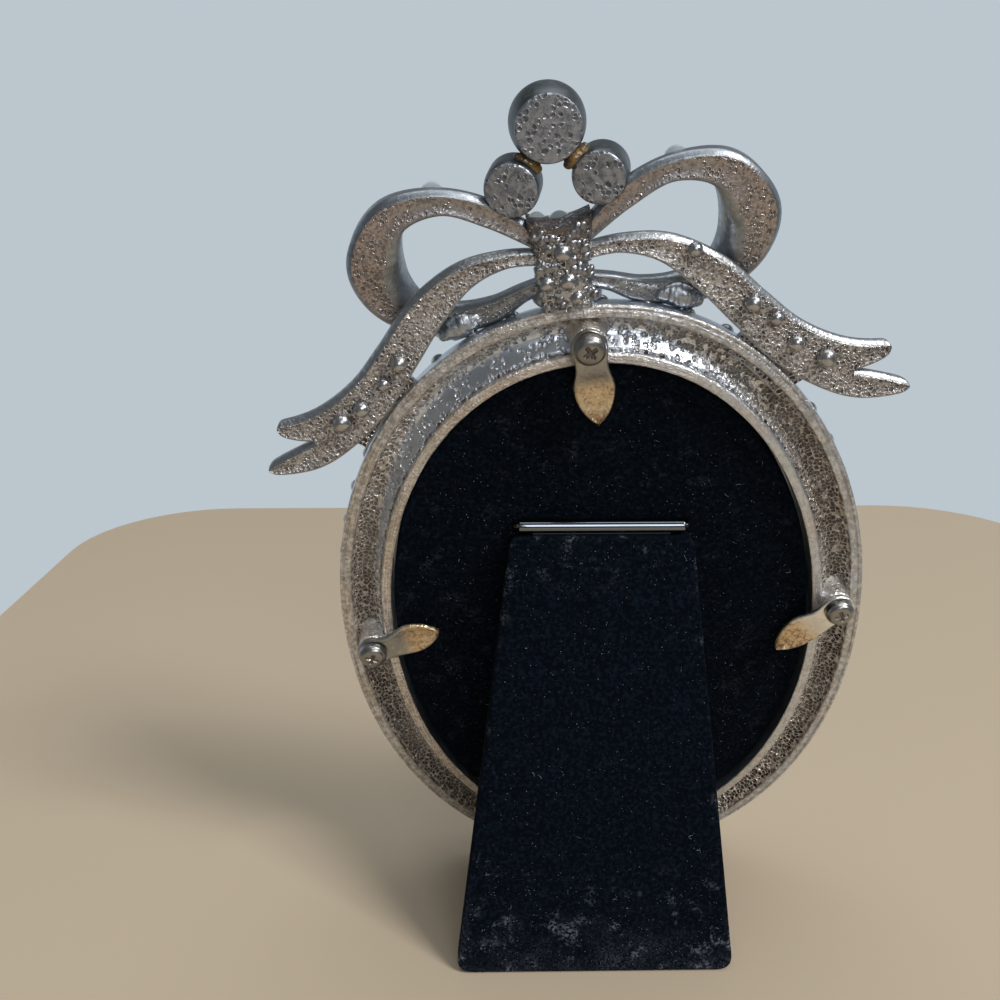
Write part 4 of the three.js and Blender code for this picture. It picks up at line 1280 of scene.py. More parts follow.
@dataclass
class RibbonBow:
    """The ribbon bow: knot, loops and forked tails, with the beads, stones and crest cups set on them."""

    place: Placement
    shop: Workshop
    ring: OvalRing
    loop_stations: tuple[tuple[float, ...], ...] = (
        (2.4, 8.4, 2.0, -0.9, 2.5, 0.35, 0.6), (8.2, 13.0, 3.2, -0.5, 2.5, 0.35, 0.6),
        (14.2, 15.5, 3.1, -0.2, 2.7, 0.35, 0.5), (20.4, 14.4, 4.6, 0.0, 3.6, 0.8, 0.8),
        (23.4, 9.3, 7.0, -0.2, 4.8, 2.3, 0.95), (22.8, 4.1, 6.6, -1.7, 4.2, 3.3, 0.7),
        (19.3, 0.1, 5.0, -2.8, 3.2, 2.4, 0.2), (14.4, -0.8, 4.2, -2.8, 2.8, 1.2, 0.0),
        (9.6, 0.2, 3.4, -1.7, 2.6, 0.6, 0.0), (5.6, 2.1, 2.3, -1.0, 2.6, 0.4, 0.05),
        (2.4, 3.0, 2.0, -0.9, 2.6, 0.35, 0.1),
    )
    tail_stations: tuple[tuple[float, ...], ...] = (
        (2.4, 6.8, 2.0, -0.5), (7.5, 7.2, 2.3, -0.3), (13.0, 5.8, 3.7, -0.1), (18.3, 1.8, 5.2, 0.0),
        (23.1, -3.7, 5.7, 0.0), (27.7, -8.8, 6.4, 0.0), (33.0, -12.6, 7.3, 0.0), (38.3, -14.7, 8.3, 0.0),
        (44.4, -14.9, 8.0, 0.0),
    )
    web_reach: ClassVar[dict[Side, Pair]] = {Side.LEFT: (4.25, 6.1), Side.RIGHT: (4.3, 5.9)}
    tail_depth: float = 2.1
    notch: Pair = (36.8, -14.4)
    upper_bend: Pair = (40.0, -13.9)
    upper_tip: Pair = (41.5, -12.6)
    lower_bend: Pair = (39.8, -15.3)
    lower_tip: Pair = (44.4, -17.2)
    upper_reach: float = 41.4
    lower_reach: float = 43.9
    tail_seats: tuple[Pair, ...] = (
        (16.1, 4.3), (23.4, -4.1), (26.0, -6.8), (29.2, -10.3), (33.0, -12.8),
    )
    tail_beads: tuple[Triple, ...] = (
        (16.3, 5.4, 0.95), (23.4, -2.8, 1.2), (26.3, -5.3, 0.95), (28.9, -9.2, 1.2), (32.9, -11.9, 1.35),
        (-22.9, -4.45, 1.2), (-25.5, -7.1, 0.95), (-29.2, -10.3, 1.2), (-32.3, -11.9, 1.35),
    )
    knot_lumps: tuple[Triple, ...] = (
        (0.0, 7.5, 1.25), (-2.4, 3.8, 1.1), (0.3, 3.8, 1.25), (1.2, 1.4, 1.0),
    )
    knot_top: float = 11.8
    knot_scoop: float = 1.1
    knot_foot: float = -0.2
    knot_back: float = 0.3
    knot_depth: float = 5.0
    knot_half: float = 3.3
    knot_flare: float = 0.7
    tail_stone: float = 1.25
    knot_stone: float = 1.6
    knot_stones: Pair = (8.1, 4.1)
    rim_stones: tuple[Triple, ...] = ((0.1, 10.4, 1.5), (-2.7, 11.0, 1.2))
    loop_stones: tuple[Pair, ...] = ((0.72, 0.9), (0.96, 1.0), (2.15, 1.6))
    loop_stone_stand: float = 0.5
    loop_stone_base: float = -2.2
    rim_stone_rise: float = 2.4
    stone_sink: float = 0.25
    tail_bead_base: float = -0.05
    bead_wobble: float = 0.12
    solder_from: Triple = (12.3, -0.9, -3.1)
    solder_way: Pair = (4.3, -1.4)
    solder_size: Pair = (1.15, 0.55)
    solder_count: int = 8
    solder_spots: tuple[tuple[float, ...], ...] = ((3.2, 1.0, -2.0, 1.2),)
    solder_wobble: float = 1.1
    glue_from: Triple = (3.11, 18.57, -1.45)
    glue_way: Pair = (0.773, 0.635)
    glue_wobble: float = 0.6
    glue_run: tuple[Pair, ...] = (
        (-1.6, 0.55), (-1.1, 0.85), (-0.5, 1.1), (0.1, 1.0), (0.6, 0.85), (1.1, 0.55),
    )
    glue_spots: tuple[tuple[float, ...], ...] = ((7.4, 13.2, -1.3, 0.6), (6.6, 12.6, -1.4, 0.55))
    loop_start: float = 7.0
    web_start: float = 50.0
    knot_start: float = 90.0
    loop_pits: float = 0.05
    tail_pits: float = 0.06
    knot_pits: float = 0.16
    web_back: float = -0.45
    web_depth: float = 1.5
    web_inset: float = 1.4
    web_lap: float = 0.12
    grain_count: int = 150
    grain_seed: int = 11
    grain_sizes: Pair = (0.25, 0.8)
    grain_wobble: float = 1.1
    tail_brown: float = 0.8
    prong_taper: int = 14
    prong_least: float = 0.05
    waist: float = 0.35
    waist_at: float = 6.0
    waist_width: float = 1.6
    knot_steps: int = 90
    steps: int = 26

    def ribbon(self, stations: Points, side: Side) -> tuple[Points, Points, Points]:
        """A ribbon's two edges.

        Args:
            stations: Rows that start with x, y and width of the right-hand ribbon.
            side: The side to draw.

        Returns:
            The inner edge, the outer edge, and the smooth rows between the stations.
        """
        rows = through(stations, self.steps)
        way = np.gradient(rows[:, :2], axis=0)
        way /= np.linalg.norm(way, axis=1, keepdims=True)
        left = np.stack([-way[:, 1], way[:, 0]], axis=-1) * rows[:, 2:3] / 2
        mirror = np.array([side.value, 1.0])
        return (rows[:, :2] - left) * mirror, (rows[:, :2] + left) * mirror, rows

    def add_ribbon(self, shell: Shell, inner: Points, outer: Points, back: Points, depth: Points,
                   start: float, density: Pair, warmth: Points | float,
                   turned: Points | float = 0.35) -> None:
        """Adds one run of ribbon to a shell.

        Args:
            shell: The shell.
            inner: The inner edge.
            outer: The outer edge.
            back: Heights of the back face.
            depth: Depths to the front.
            start: The length of ribbon before this run.
            density: The share of pits at its start and at its end.
            warmth: How brown its back is.
            turned: How far its inner edge is turned in.
        """
        points, across, face = RibbonProfile().sections(inner, outer, back, depth, turned)
        along = start + run_length((inner + outer) / 2)[:, None]
        grain = grain_at(along, across)
        share = np.linspace(density[0], density[1], len(points))[:, None]
        brown = np.broadcast_to(warmth, len(points))[:, None]
        beads = np.array(self.tail_beads)
        gap = np.linalg.norm(points[..., None, :2] - beads[:, :2], axis=-1) - beads[:, 2]
        # Painted shade: darker off the back face, on the bevels and turned edges, and round each tail bead's
        # seat.
        soil = 0.25 * (1 - face) + 0.7 * face * (1 - smoothstep(-0.1, 0.7, gap)).max(axis=-1)
        tone = brown * face - 0.3 * (1 - face)
        shell.loft(points, grain=grain, pits=share * face, tone=tone, soil=soil)

    def loop(self, side: Side) -> None:
        """Makes a loop of the bow.

        Args:
            side: Its side.
        """
        inner, outer, rows = self.ribbon(np.array(self.loop_stations), side)
        shell = Shell(*METAL_MARKS)
        back, depth, turned, warmth = rows[:, 3:].T
        self.add_ribbon(shell, inner, outer, back, depth, self.loop_start, (0.3, 0.8), warmth, turned)
        name = f"loop_{side.label}"
        self.shop.cast(shell, name, self.place, LOOP_SILVER, self.loop_pits, f"bow_{name}")

    def tail(self, side: Side) -> None:
        """Makes a forked tail.

        Args:
            side: Its side.
        """
        inner, outer, rows = self.ribbon(np.array(self.tail_stations), side)
        mirror = np.array([side.value, 1.0])
        split = int(np.argmin(np.linalg.norm(rows[:, :2] - np.array(self.notch), axis=1)))
        deep = np.full(len(rows), self.tail_depth)
        shell = Shell(*METAL_MARKS)
        before = run_length(rows[:, :2])[split]
        body = slice(0, split + 1)
        self.add_ribbon(shell, inner[body], outer[body], rows[body, 3], deep[body], 0.0, (0.4, 0.65),
                        self.tail_brown)
        prongs = (
            (outer, self.upper_bend, self.upper_tip, self.upper_reach, True),
            (inner, self.lower_bend, self.lower_tip, self.lower_reach, False),
        )
        for rim, middle, tip, reach, upper in prongs:
            rim = rim[split:][np.abs(rim[split:, 0]) <= reach]
            count = len(rim)
            cut = np.vstack([bend(self.notch, middle, tip, count - 1), tip]) * mirror
            share = np.linspace(0, 1, count)[:, None]
            taper = np.sqrt(np.clip(1 - share**self.prong_taper, self.prong_least, 1))
            spine = (rim + cut) / 2
            rim, cut = spine + (rim - spine) * taper, spine + (cut - spine) * taper
            low, high = (cut, rim) if upper else (rim, cut)
            thin = self.tail_depth * (0.6 + 0.4 * taper[:, 0])
            self.add_ribbon(shell, low, high, np.zeros(count), thin, before, (0.65, 0.35), self.tail_brown)
        name = f"tail_{side.label}"
        self.shop.cast(shell, name, self.place, TAIL_SILVER, self.tail_pits, f"ribbon_{name}")

    def knot(self) -> None:
        """Makes the knot, scooped at its top."""
        share = np.linspace(0, 1, self.knot_steps)
        height = self.knot_foot + share * (self.knot_top - self.knot_foot)
        half = self.knot_half + self.knot_flare * smoothstep(4.0, self.knot_top, height)
        half = half - self.waist * dip(height, self.waist_at, self.waist_width)
        inner, outer = np.stack([-half, height], axis=-1), np.stack([half, height], axis=-1)
        profile = RibbonProfile(outer_bevel=0.7, dish=-0.35, crown=1.0)
        back, depth = (np.full(self.knot_steps, z) for z in (self.knot_back, self.knot_depth))
        points, across, face = profile.sections(inner, outer, back, depth, 0.7)
        scoop = self.knot_scoop * smoothstep(0.5, 1.0, share)[:, None]
        points[..., 1] -= scoop * (1 - (points[..., 0] / half[:, None]) ** 2)
        grain = grain_at(height[:, None] + self.knot_start, across)
        shell = Shell(*METAL_MARKS)
        pits = 0.8 * face * (share < 0.94)[:, None]
        shell.loft(points, grain=grain, pits=pits, tone=smoothstep(0.3, 0.6, share)[:, None])
        self.shop.cast(shell, "knot", self.place, KNOT_SILVER, self.knot_pits, "bow_knot")

    def beads_and_stones(self) -> None:
        """Sets the beads behind the ribbons and the stones before them."""
        beads = [(x, y, self.knot_back, r) for x, y, r in self.knot_lumps]
        beads += [(x, y, self.tail_bead_base, r) for x, y, r in self.tail_beads]
        front = self.knot_back - self.knot_depth + self.stone_sink
        middle = [(0.0, y, front, self.knot_stone) for y in self.knot_stones]
        middle += [(x, y, front + self.rim_stone_rise, r) for x, y, r in self.rim_stones]
        outward = [(x, y, self.stone_sink - self.tail_depth, self.tail_stone) for x, y in self.tail_seats]
        inner, outer, _ = self.ribbon(np.array(self.loop_stations), Side.RIGHT)
        for place, radius in self.loop_stones:
            step = int(place * self.steps)
            across = (inner - outer)[step]
            sunk = outer[step] + across / np.linalg.norm(across) * (radius - self.loop_stone_stand)
            outward.append((*sunk, self.loop_stone_base, radius))
        stones = np.vstack([middle, both_sides(outward)])
        setter = self.shop.beads
        back = setter.set("bow_beads", np.array(beads), self.place, ball(16), BEAD_SILVER, self.bead_wobble)
        seat(back, Body.FRAME, Slot.SILVER, "bow_knot", "ribbon_tail_left", "ribbon_tail_right")
        gems = setter.set("bow_stones", stones, self.place, cabochon(0.36, 0.55), STONE)
        nodes = [f"tail_stone_{side.label}_{i + 1}" for side in Side for i in range(len(self.tail_seats))]
        seat(gems, Body.FRAME, Slot.STONE, "knot_stone_upper", "knot_stone_lower", *nodes)

    def granules(self) -> None:
        """Roughens the knot with the cast grains that lie round its lumps."""
        chance = np.random.default_rng(self.grain_seed)
        count = self.grain_count
        x = chance.uniform(-1, 1, count) * (self.knot_half + 0.1)
        y = chance.uniform(0.4, self.knot_top - 0.9, count) - 0.5 * (1 - (x / self.knot_half) ** 2)
        radius = chance.uniform(*self.grain_sizes, count)
        z = self.knot_back + 0.2 - 0.03 * x**2 - 0.55 * radius
        rows = np.column_stack([x, y, z, radius])
        setter = self.shop.beads
        grains = setter.set("knot_grains", rows, self.place, ball(8), GRAIN_SILVER, self.grain_wobble)
        seat(grains, Body.FRAME, Slot.SILVER, "bow_knot")

    def webs(self) -> None:
        """Fills the solder webs between the tails and the ring."""
        shell = Shell(*METAL_MARKS)
        oval = self.ring.edge(np.linspace(0, 2 * np.pi, 2000), self.web_inset)
        oval = oval - [BOW_SHIFT, self.ring.half_height]
        c, s = math.cos(BOW_ASKEW), math.sin(BOW_ASKEW)
        oval = oval @ np.array([[c, -s], [s, c]])
        for side in Side:
            inner, outer, _ = self.ribbon(np.array(self.tail_stations), side)
            first, last = (int(place * self.steps) for place in self.web_reach[side])
            rim = inner[first:last] + self.web_lap * (outer - inner)[first:last]
            nearest = np.linalg.norm(rim[:, None] - oval[None], axis=-1).argmin(axis=1)
            back, depth = (np.full(len(rim), z) for z in (self.web_back, self.web_depth))
            self.add_ribbon(shell, oval[nearest], rim, back, depth, self.web_start, (0.8, 0.8), 0.7)
        web = shell.build("tail_webs", self.place, KNOT_SILVER)
        seat(web, Body.FRAME, Slot.SILVER, "ribbon_tail_left", "ribbon_tail_right")

    def solder_and_glue(self) -> None:
        """Adds the solder that holds the loops to the ring, and the glue between cups and ribbons."""
        x, y, z = self.solder_from
        right, up = self.solder_way
        size, swell = self.solder_size
        solder = [(x + right * t, y + up * t, z, size + swell * math.sin(math.pi * t))
                  for t in np.linspace(0, 1, self.solder_count)]
        rows = both_sides([*solder, *self.solder_spots])
        drops = self.shop.beads.set("bow_solder", rows, self.place, ball(16), SOLDER, self.solder_wobble)
        seat(drops, Body.FRAME, Slot.SILVER, "bow_loop_left", "bow_loop_right")
        x, y, z = self.glue_from
        right, up = self.glue_way
        glue = [(x + right * t, y + up * t, z, r) for t, r in self.glue_run]
        rows = both_sides([*glue, *self.glue_spots])
        squeezed = self.shop.beads.set("cup_glue", rows, self.place, ball(), GLUE, self.glue_wobble)
        seat(squeezed, Body.FRAME, Slot.SILVER)

    def build(self) -> None:
        """Makes the whole bow."""
        for side in Side:
            self.loop(side)
            self.tail(side)
        self.knot()
        self.granules()
        self.webs()
        self.beads_and_stones()
        self.solder_and_glue()


@dataclass
class CrestCup:
    """A stone cup of the crest, with its cabochon."""

    place: Placement
    shop: Workshop
    name: str
    radius: float
    flare: float
    shoulder: float
    back: float = 0.3
    depth: float = 4.4
    wall: float = 0.6
    floor: float = 2.0
    seat_gap: float = 0.25
    hub: float = 0.12
    back_round: float = 0.3
    rim_round: float = 0.2
    pit_depth: float = 0.02
    sides: int = 112
    gem_sides: int = 64

    def build(self) -> None:
        """Makes the cup and its stone."""
        edge, rim = self.radius - self.flare, self.back - self.depth
        bore, floor = self.radius - self.wall, self.back - self.floor
        lip = rim + self.rim_round
        face_runs = ((26, (edge - self.back_round, self.back)),
                     (6, (edge, self.back), (edge + 0.05, self.back - 0.35)))
        side_runs = ((12, (self.radius - 0.2 * self.flare, self.back - 0.45 * self.shoulder),
                      (self.radius, self.back - self.shoulder)),
                     (8, (self.radius, lip)), (8, (self.radius - 0.3, rim - 0.15), (bore, lip)),
                     (4, (bore, floor)), (4, (self.hub, floor)))
        rows = turned_rows(np.vstack(chain((self.hub, self.back), *face_runs, *side_runs)), self.sides)
        face_rows = sum(count for count, *_ in face_runs) - 1
        face = (np.arange(len(rows)) < face_rows)[:, None]
        shell = Shell(*METAL_MARKS)
        # The side walls take the finish's nearly black pale colour as painted shade; the face takes its warm
        # colour.
        shell.loft(rows, grain=rows + [17.0 * self.radius, 5.0, 0.0], pits=0.5 * face, tone=0.1 + 0.8 * face,
                   soil=0.35 * face)
        name = f"cup_{self.name}"
        self.shop.cast(shell, name, self.place, CUP_SILVER, self.pit_depth, f"crest_{name}")
        size = bore - self.seat_gap
        gem = cabochon((self.depth - self.floor - self.seat_gap) / size, 0.55, 16) * size
        stone = Shell()
        stone.loft(turned_rows(gem + [0.0, floor - self.seat_gap], self.gem_sides))
        gem_piece = stone.build(f"cabochon_{self.name}", self.place, STONE)
        seat(gem_piece, Body.FRAME, Slot.STONE, f"crest_stone_{self.name}")


@dataclass
class TurnButton:
    """A spoon-shaped turn button and the cross-head screw that it swivels on."""

    place: Placement
    name: str
    body: Body
    points: float
    recess_turn: float
    length: float
    finish: CastMetal = LEAF_BRONZE
    half_width: float = 2.75
    heel: float = 2.4
    neck: float = 2.15
    flat: float = 2.7
    belly: float = 6.2
    under: float = 2.25
    thick: float = 0.8
    drop: float = 0.95
    dish: float = 0.34
    taper: float = 0.6
    tip_half: float = 0.2
    plated_to: Pair = (4.2, 7.2)
    soiled_from: Pair = (0.7, 1.0)
    head_under: float = 3.3
    head_radius: float = 2.15
    head_height: float = 1.5
    head_flatness: float = 0.7
    shank: float = 0.8
    shank_end: float = 0.1
    shank_tip: float = 0.4
    arm: float = 0.95
    arm_half: float = 0.22
    recess: float = 0.32
    recess_soft: float = 0.12
    recess_rise: float = 0.35
    groove: float = 0.1
    groove_at: float = 0.86
    groove_width: float = 0.12
    screw_sides: int = 144

    def half(self, along: Points) -> Points:
        """The leaf's half width.

        Args:
            along: Distances from the screw.

        Returns:
            The half width at each of them.
        """
        heel = np.sqrt(np.clip(self.heel**2 - np.minimum(along, 0) ** 2, self.tip_half**2, None))
        waist = self.heel + (self.neck - self.heel) * smoothstep(0.0, self.flat, along)
        side = waist + (self.half_width - self.neck) * smoothstep(self.flat, self.belly, along)
        share = np.clip((along - self.belly) / (self.length - self.belly), 0, 1)
        taper = np.cos(share * np.pi / 2) ** self.taper
        return np.where(along < 0, heel, np.maximum(side * taper, self.tip_half))

    def leaf(self) -> None:
        """Makes the leaf, bent down and dished into a spoon."""
        turn = np.linspace(0, np.pi, 70)
        along = (self.length - self.heel) / 2 - (self.length + self.heel) / 2 * np.cos(turn)
        half = self.half(along)[:, None]
        bent = smoothstep(self.flat, self.belly, along)[:, None]
        share = np.linspace(-1, 1, 19)[None]
        lift = self.dish * bent * share**2
        low = self.under - self.drop * bent + lift
        edge = np.minimum(self.thick / 2, 0.5 * half)
        round_turn = np.linspace(-np.pi / 2, np.pi / 2, 7)[None, 1:-1]
        rim = low[:, -1:] + self.thick / 2
        sides = (half - edge) + edge * np.cos(round_turn)
        heights = rim + self.thick / 2 * np.sin(round_turn)
        across = np.concatenate([share * (half - edge), sides, -share * (half - edge), -sides], axis=1)
        height = np.concatenate([low, heights, low[:, ::-1] + self.thick, heights[:, ::-1]], axis=1)
        rows = np.stack(np.broadcast_arrays(along[:, None], across, height), axis=-1)
        worn = smoothstep(*self.plated_to, along)[:, None]
        tip = smoothstep(*self.soiled_from, along / self.length)[:, None]
        shell = Shell(*METAL_MARKS)
        shell.loft(rows, tone=worn, soil=0.55 * tip)
        leaf = shell.build(f"leaf_{self.name}", self.place.turned(self.points), self.finish)
        seat(leaf, self.body, Slot.BRONZE, f"turn_button_{self.name}")

    def screw(self) -> None:
        """Makes the screw, with a worn cross recess in its domed head."""
        outer = self.head_radius * np.sin(np.linspace(0.84, 1.57, 14))
        radius = np.concatenate([np.linspace(0.03, 1.6, 40), outer])
        wide = np.clip(radius / self.head_radius, 0, 1) ** (1 / self.head_flatness)
        dome = self.head_under + self.head_height * np.sqrt(np.clip(1 - wide**2, 0, 1)) ** self.head_flatness
        dome -= self.groove * dip(radius, self.groove_at * self.head_radius, self.groove_width)
        rows = turned_rows(np.stack([radius, dome], axis=-1), self.screw_sides)
        c, s = math.cos(self.recess_turn), math.sin(self.recess_turn)
        x, y = rows[..., 0] * c + rows[..., 1] * s, rows[..., 1] * c - rows[..., 0] * s
        soft = self.recess_soft

        def arm(a: Points, b: Points) -> Points:
            """One arm of the cross."""
            inside = 1 - smoothstep(self.arm - soft, self.arm + soft, np.abs(a))
            return inside * (1 - smoothstep(self.arm_half - soft, self.arm_half + soft, np.abs(b)))

        cross = np.maximum(arm(x, y), arm(y, x))
        rows[..., 2] -= cross * self.recess * (1 - self.recess_rise * np.hypot(x, y) / self.arm)
        end = (self.shank, self.shank_end)
        shank = chain((self.head_radius, self.head_under), (3, (self.shank, self.head_under)), (3, end))
        tip = [end, (self.shank / 2, self.shank_end - self.shank_tip)]
        foot = turned_rows(np.vstack([*shank, tip]), self.screw_sides)
        tone = np.concatenate([cross, np.full(foot.shape[:2], 0.5)])
        shell = Shell(*METAL_MARKS)
        shell.loft(np.concatenate([rows, foot]), tone=tone)
        screw = shell.build(f"screw_{self.name}", self.place, SCREW_STEEL)
        seat(screw, Body.FRAME, Slot.STEEL, f"button_screw_{self.name}")

    def build(self) -> None:
        """Makes the leaf and its screw."""
        self.leaf()
        self.screw()


def fibre_rows(length: float, thick: float, curl: float) -> Points:
    """A curled fibre lying on the ground.

    Args:
        length: Its length, in millimetres.
        thick: Its radius.
        curl: The angle that it curls through.

    Returns:
        Its sections, three points each.
    """
    turn = np.linspace(-0.5, 0.5, 6) * curl
    reach = length / curl
    flat = np.zeros_like(turn)
    spine = np.stack([reach * np.sin(turn), reach * (1 - np.cos(turn)), flat + thick], axis=-1)
    out = np.stack([np.sin(turn), -np.cos(turn), flat], axis=-1)[:, None]
    angle = np.linspace(0, 2 * np.pi, 3, endpoint=False)[None, :, None]
    return spine[:, None] + thick * (np.cos(angle) * out + np.sin(angle) * np.array([0.0, 0.0, 1.0]))


def speck_rows(radius: float) -> Points:
    """A speck of fluff on the ground, in coarse sections."""
    return turned_rows(ball(3) * [radius, 0.6 * radius] + [0.0, 0.5 * radius], 5)


@dataclass
class VelvetBack:
    """The velvet-covered back with its board, and the wire staple that the leg hangs on."""

    place: Placement
    shop: Workshop
    ring: OvalRing
    board: bpy.types.Object
    clearance: float = 0.3
    face: float = -0.7
    board_back: float = -1.35
    front: float = -2.85
    cloth: float = 0.5
    ply: float = 0.15
    edge_round: float = 0.5
    face_rings: int = 40
    lint_rings: int = 38
    staple_half: float = 12.63
    wire: float = 0.38
    wire_bend: float = 0.6
    wire_foot: float = -2.45

    def cover(self) -> bpy.types.Object:
        """Makes the velvet, turned down round the board's edge.

        Returns:
            The cloth.
        """
        turn = np.linspace(0, 2 * np.pi, 200, endpoint=False)

        def ring(share: float, inset: float, z: float) -> Points:
            """One oval ring of the cloth."""
            flat = self.ring.edge(turn, self.ring.band_width() + self.clearance + inset) * share
            return lifted(flat, z)

        r, under = self.edge_round, self.board_back + self.ply
        rows = [ring(share, r, self.face) for share in np.linspace(0.06, 1.0, self.face_rings)]
        for a in EDGE_TURN:
            rows.append(ring(1, r * (1 - math.sin(a)), self.face - r * (1 - math.cos(a))))
        rows += [ring(1, 0, self.front), ring(1, self.cloth, self.front), ring(1, self.cloth, under)]
        rows += [ring(share, self.cloth, under) for share in (0.6, 0.1)]
        shell = Shell("rub", "lint")
        shell.loft(np.array(rows), lint=(np.arange(len(rows)) < self.lint_rings)[:, None])
        return shell.build("velvet_back", self.ring.place, VELVET)

    def staple(self) -> bpy.types.Object:
        """Bends the wire that the leg's barrel turns on.

        Returns:
            The staple.
        """
        x, y, z = HINGE
        turn = np.linspace(0, np.pi / 2, 7)
        arc = np.stack([-self.staple_half + self.wire_bend * (1 - np.cos(turn)),
                        z - self.wire_bend * (1 - np.sin(turn))], axis=-1)
        near = np.vstack([[[-self.staple_half, self.wire_foot]], arc])
        route = np.vstack([near, near[::-1] * [-1.0, 1.0]])
        points = np.stack([x + route[:, 0], np.full(len(route), y), route[:, 1]], axis=-1)
        mesh = bpy.data.meshes.new("staple")
        mesh.from_pydata(self.place.place(points).tolist(), [(i, i + 1) for i in range(len(points) - 1)], [])
        values = {"Radius": self.wire * MM, "Material": PIN_STEEL.material()}
        return self.shop.wire.apply(linked("staple", mesh), values)

    def build(self) -> None:
        """Makes the cloth, its lint and the staple, and dresses the board."""
        cloth = self.cover()
        lint = self.shop.lint.scatter_all(
            cloth,
            ("back_fibres", fibre_rows(0.55, 0.016, 1.1), 16000, 4),
            ("back_specks", speck_rows(0.045), 430000, 9),
        )
        seat(cloth, Body.FRAME, Slot.VELVET, "backing_velvet")
        turned_down = self.face - self.front - self.ring.band_width() - self.clearance
        cut = [2 * MM * (half + turned_down) for half in (self.ring.half_width, self.ring.half_height)]
        math.pi * cut[0] * cut[1] / 4
        for fluff in lint:
            seat(fluff, Body.FRAME, Slot.VELVET)
        dress(self.board, BOARD)
        seat(self.staple(), Body.FRAME, Slot.STEEL, "hinge_pin")


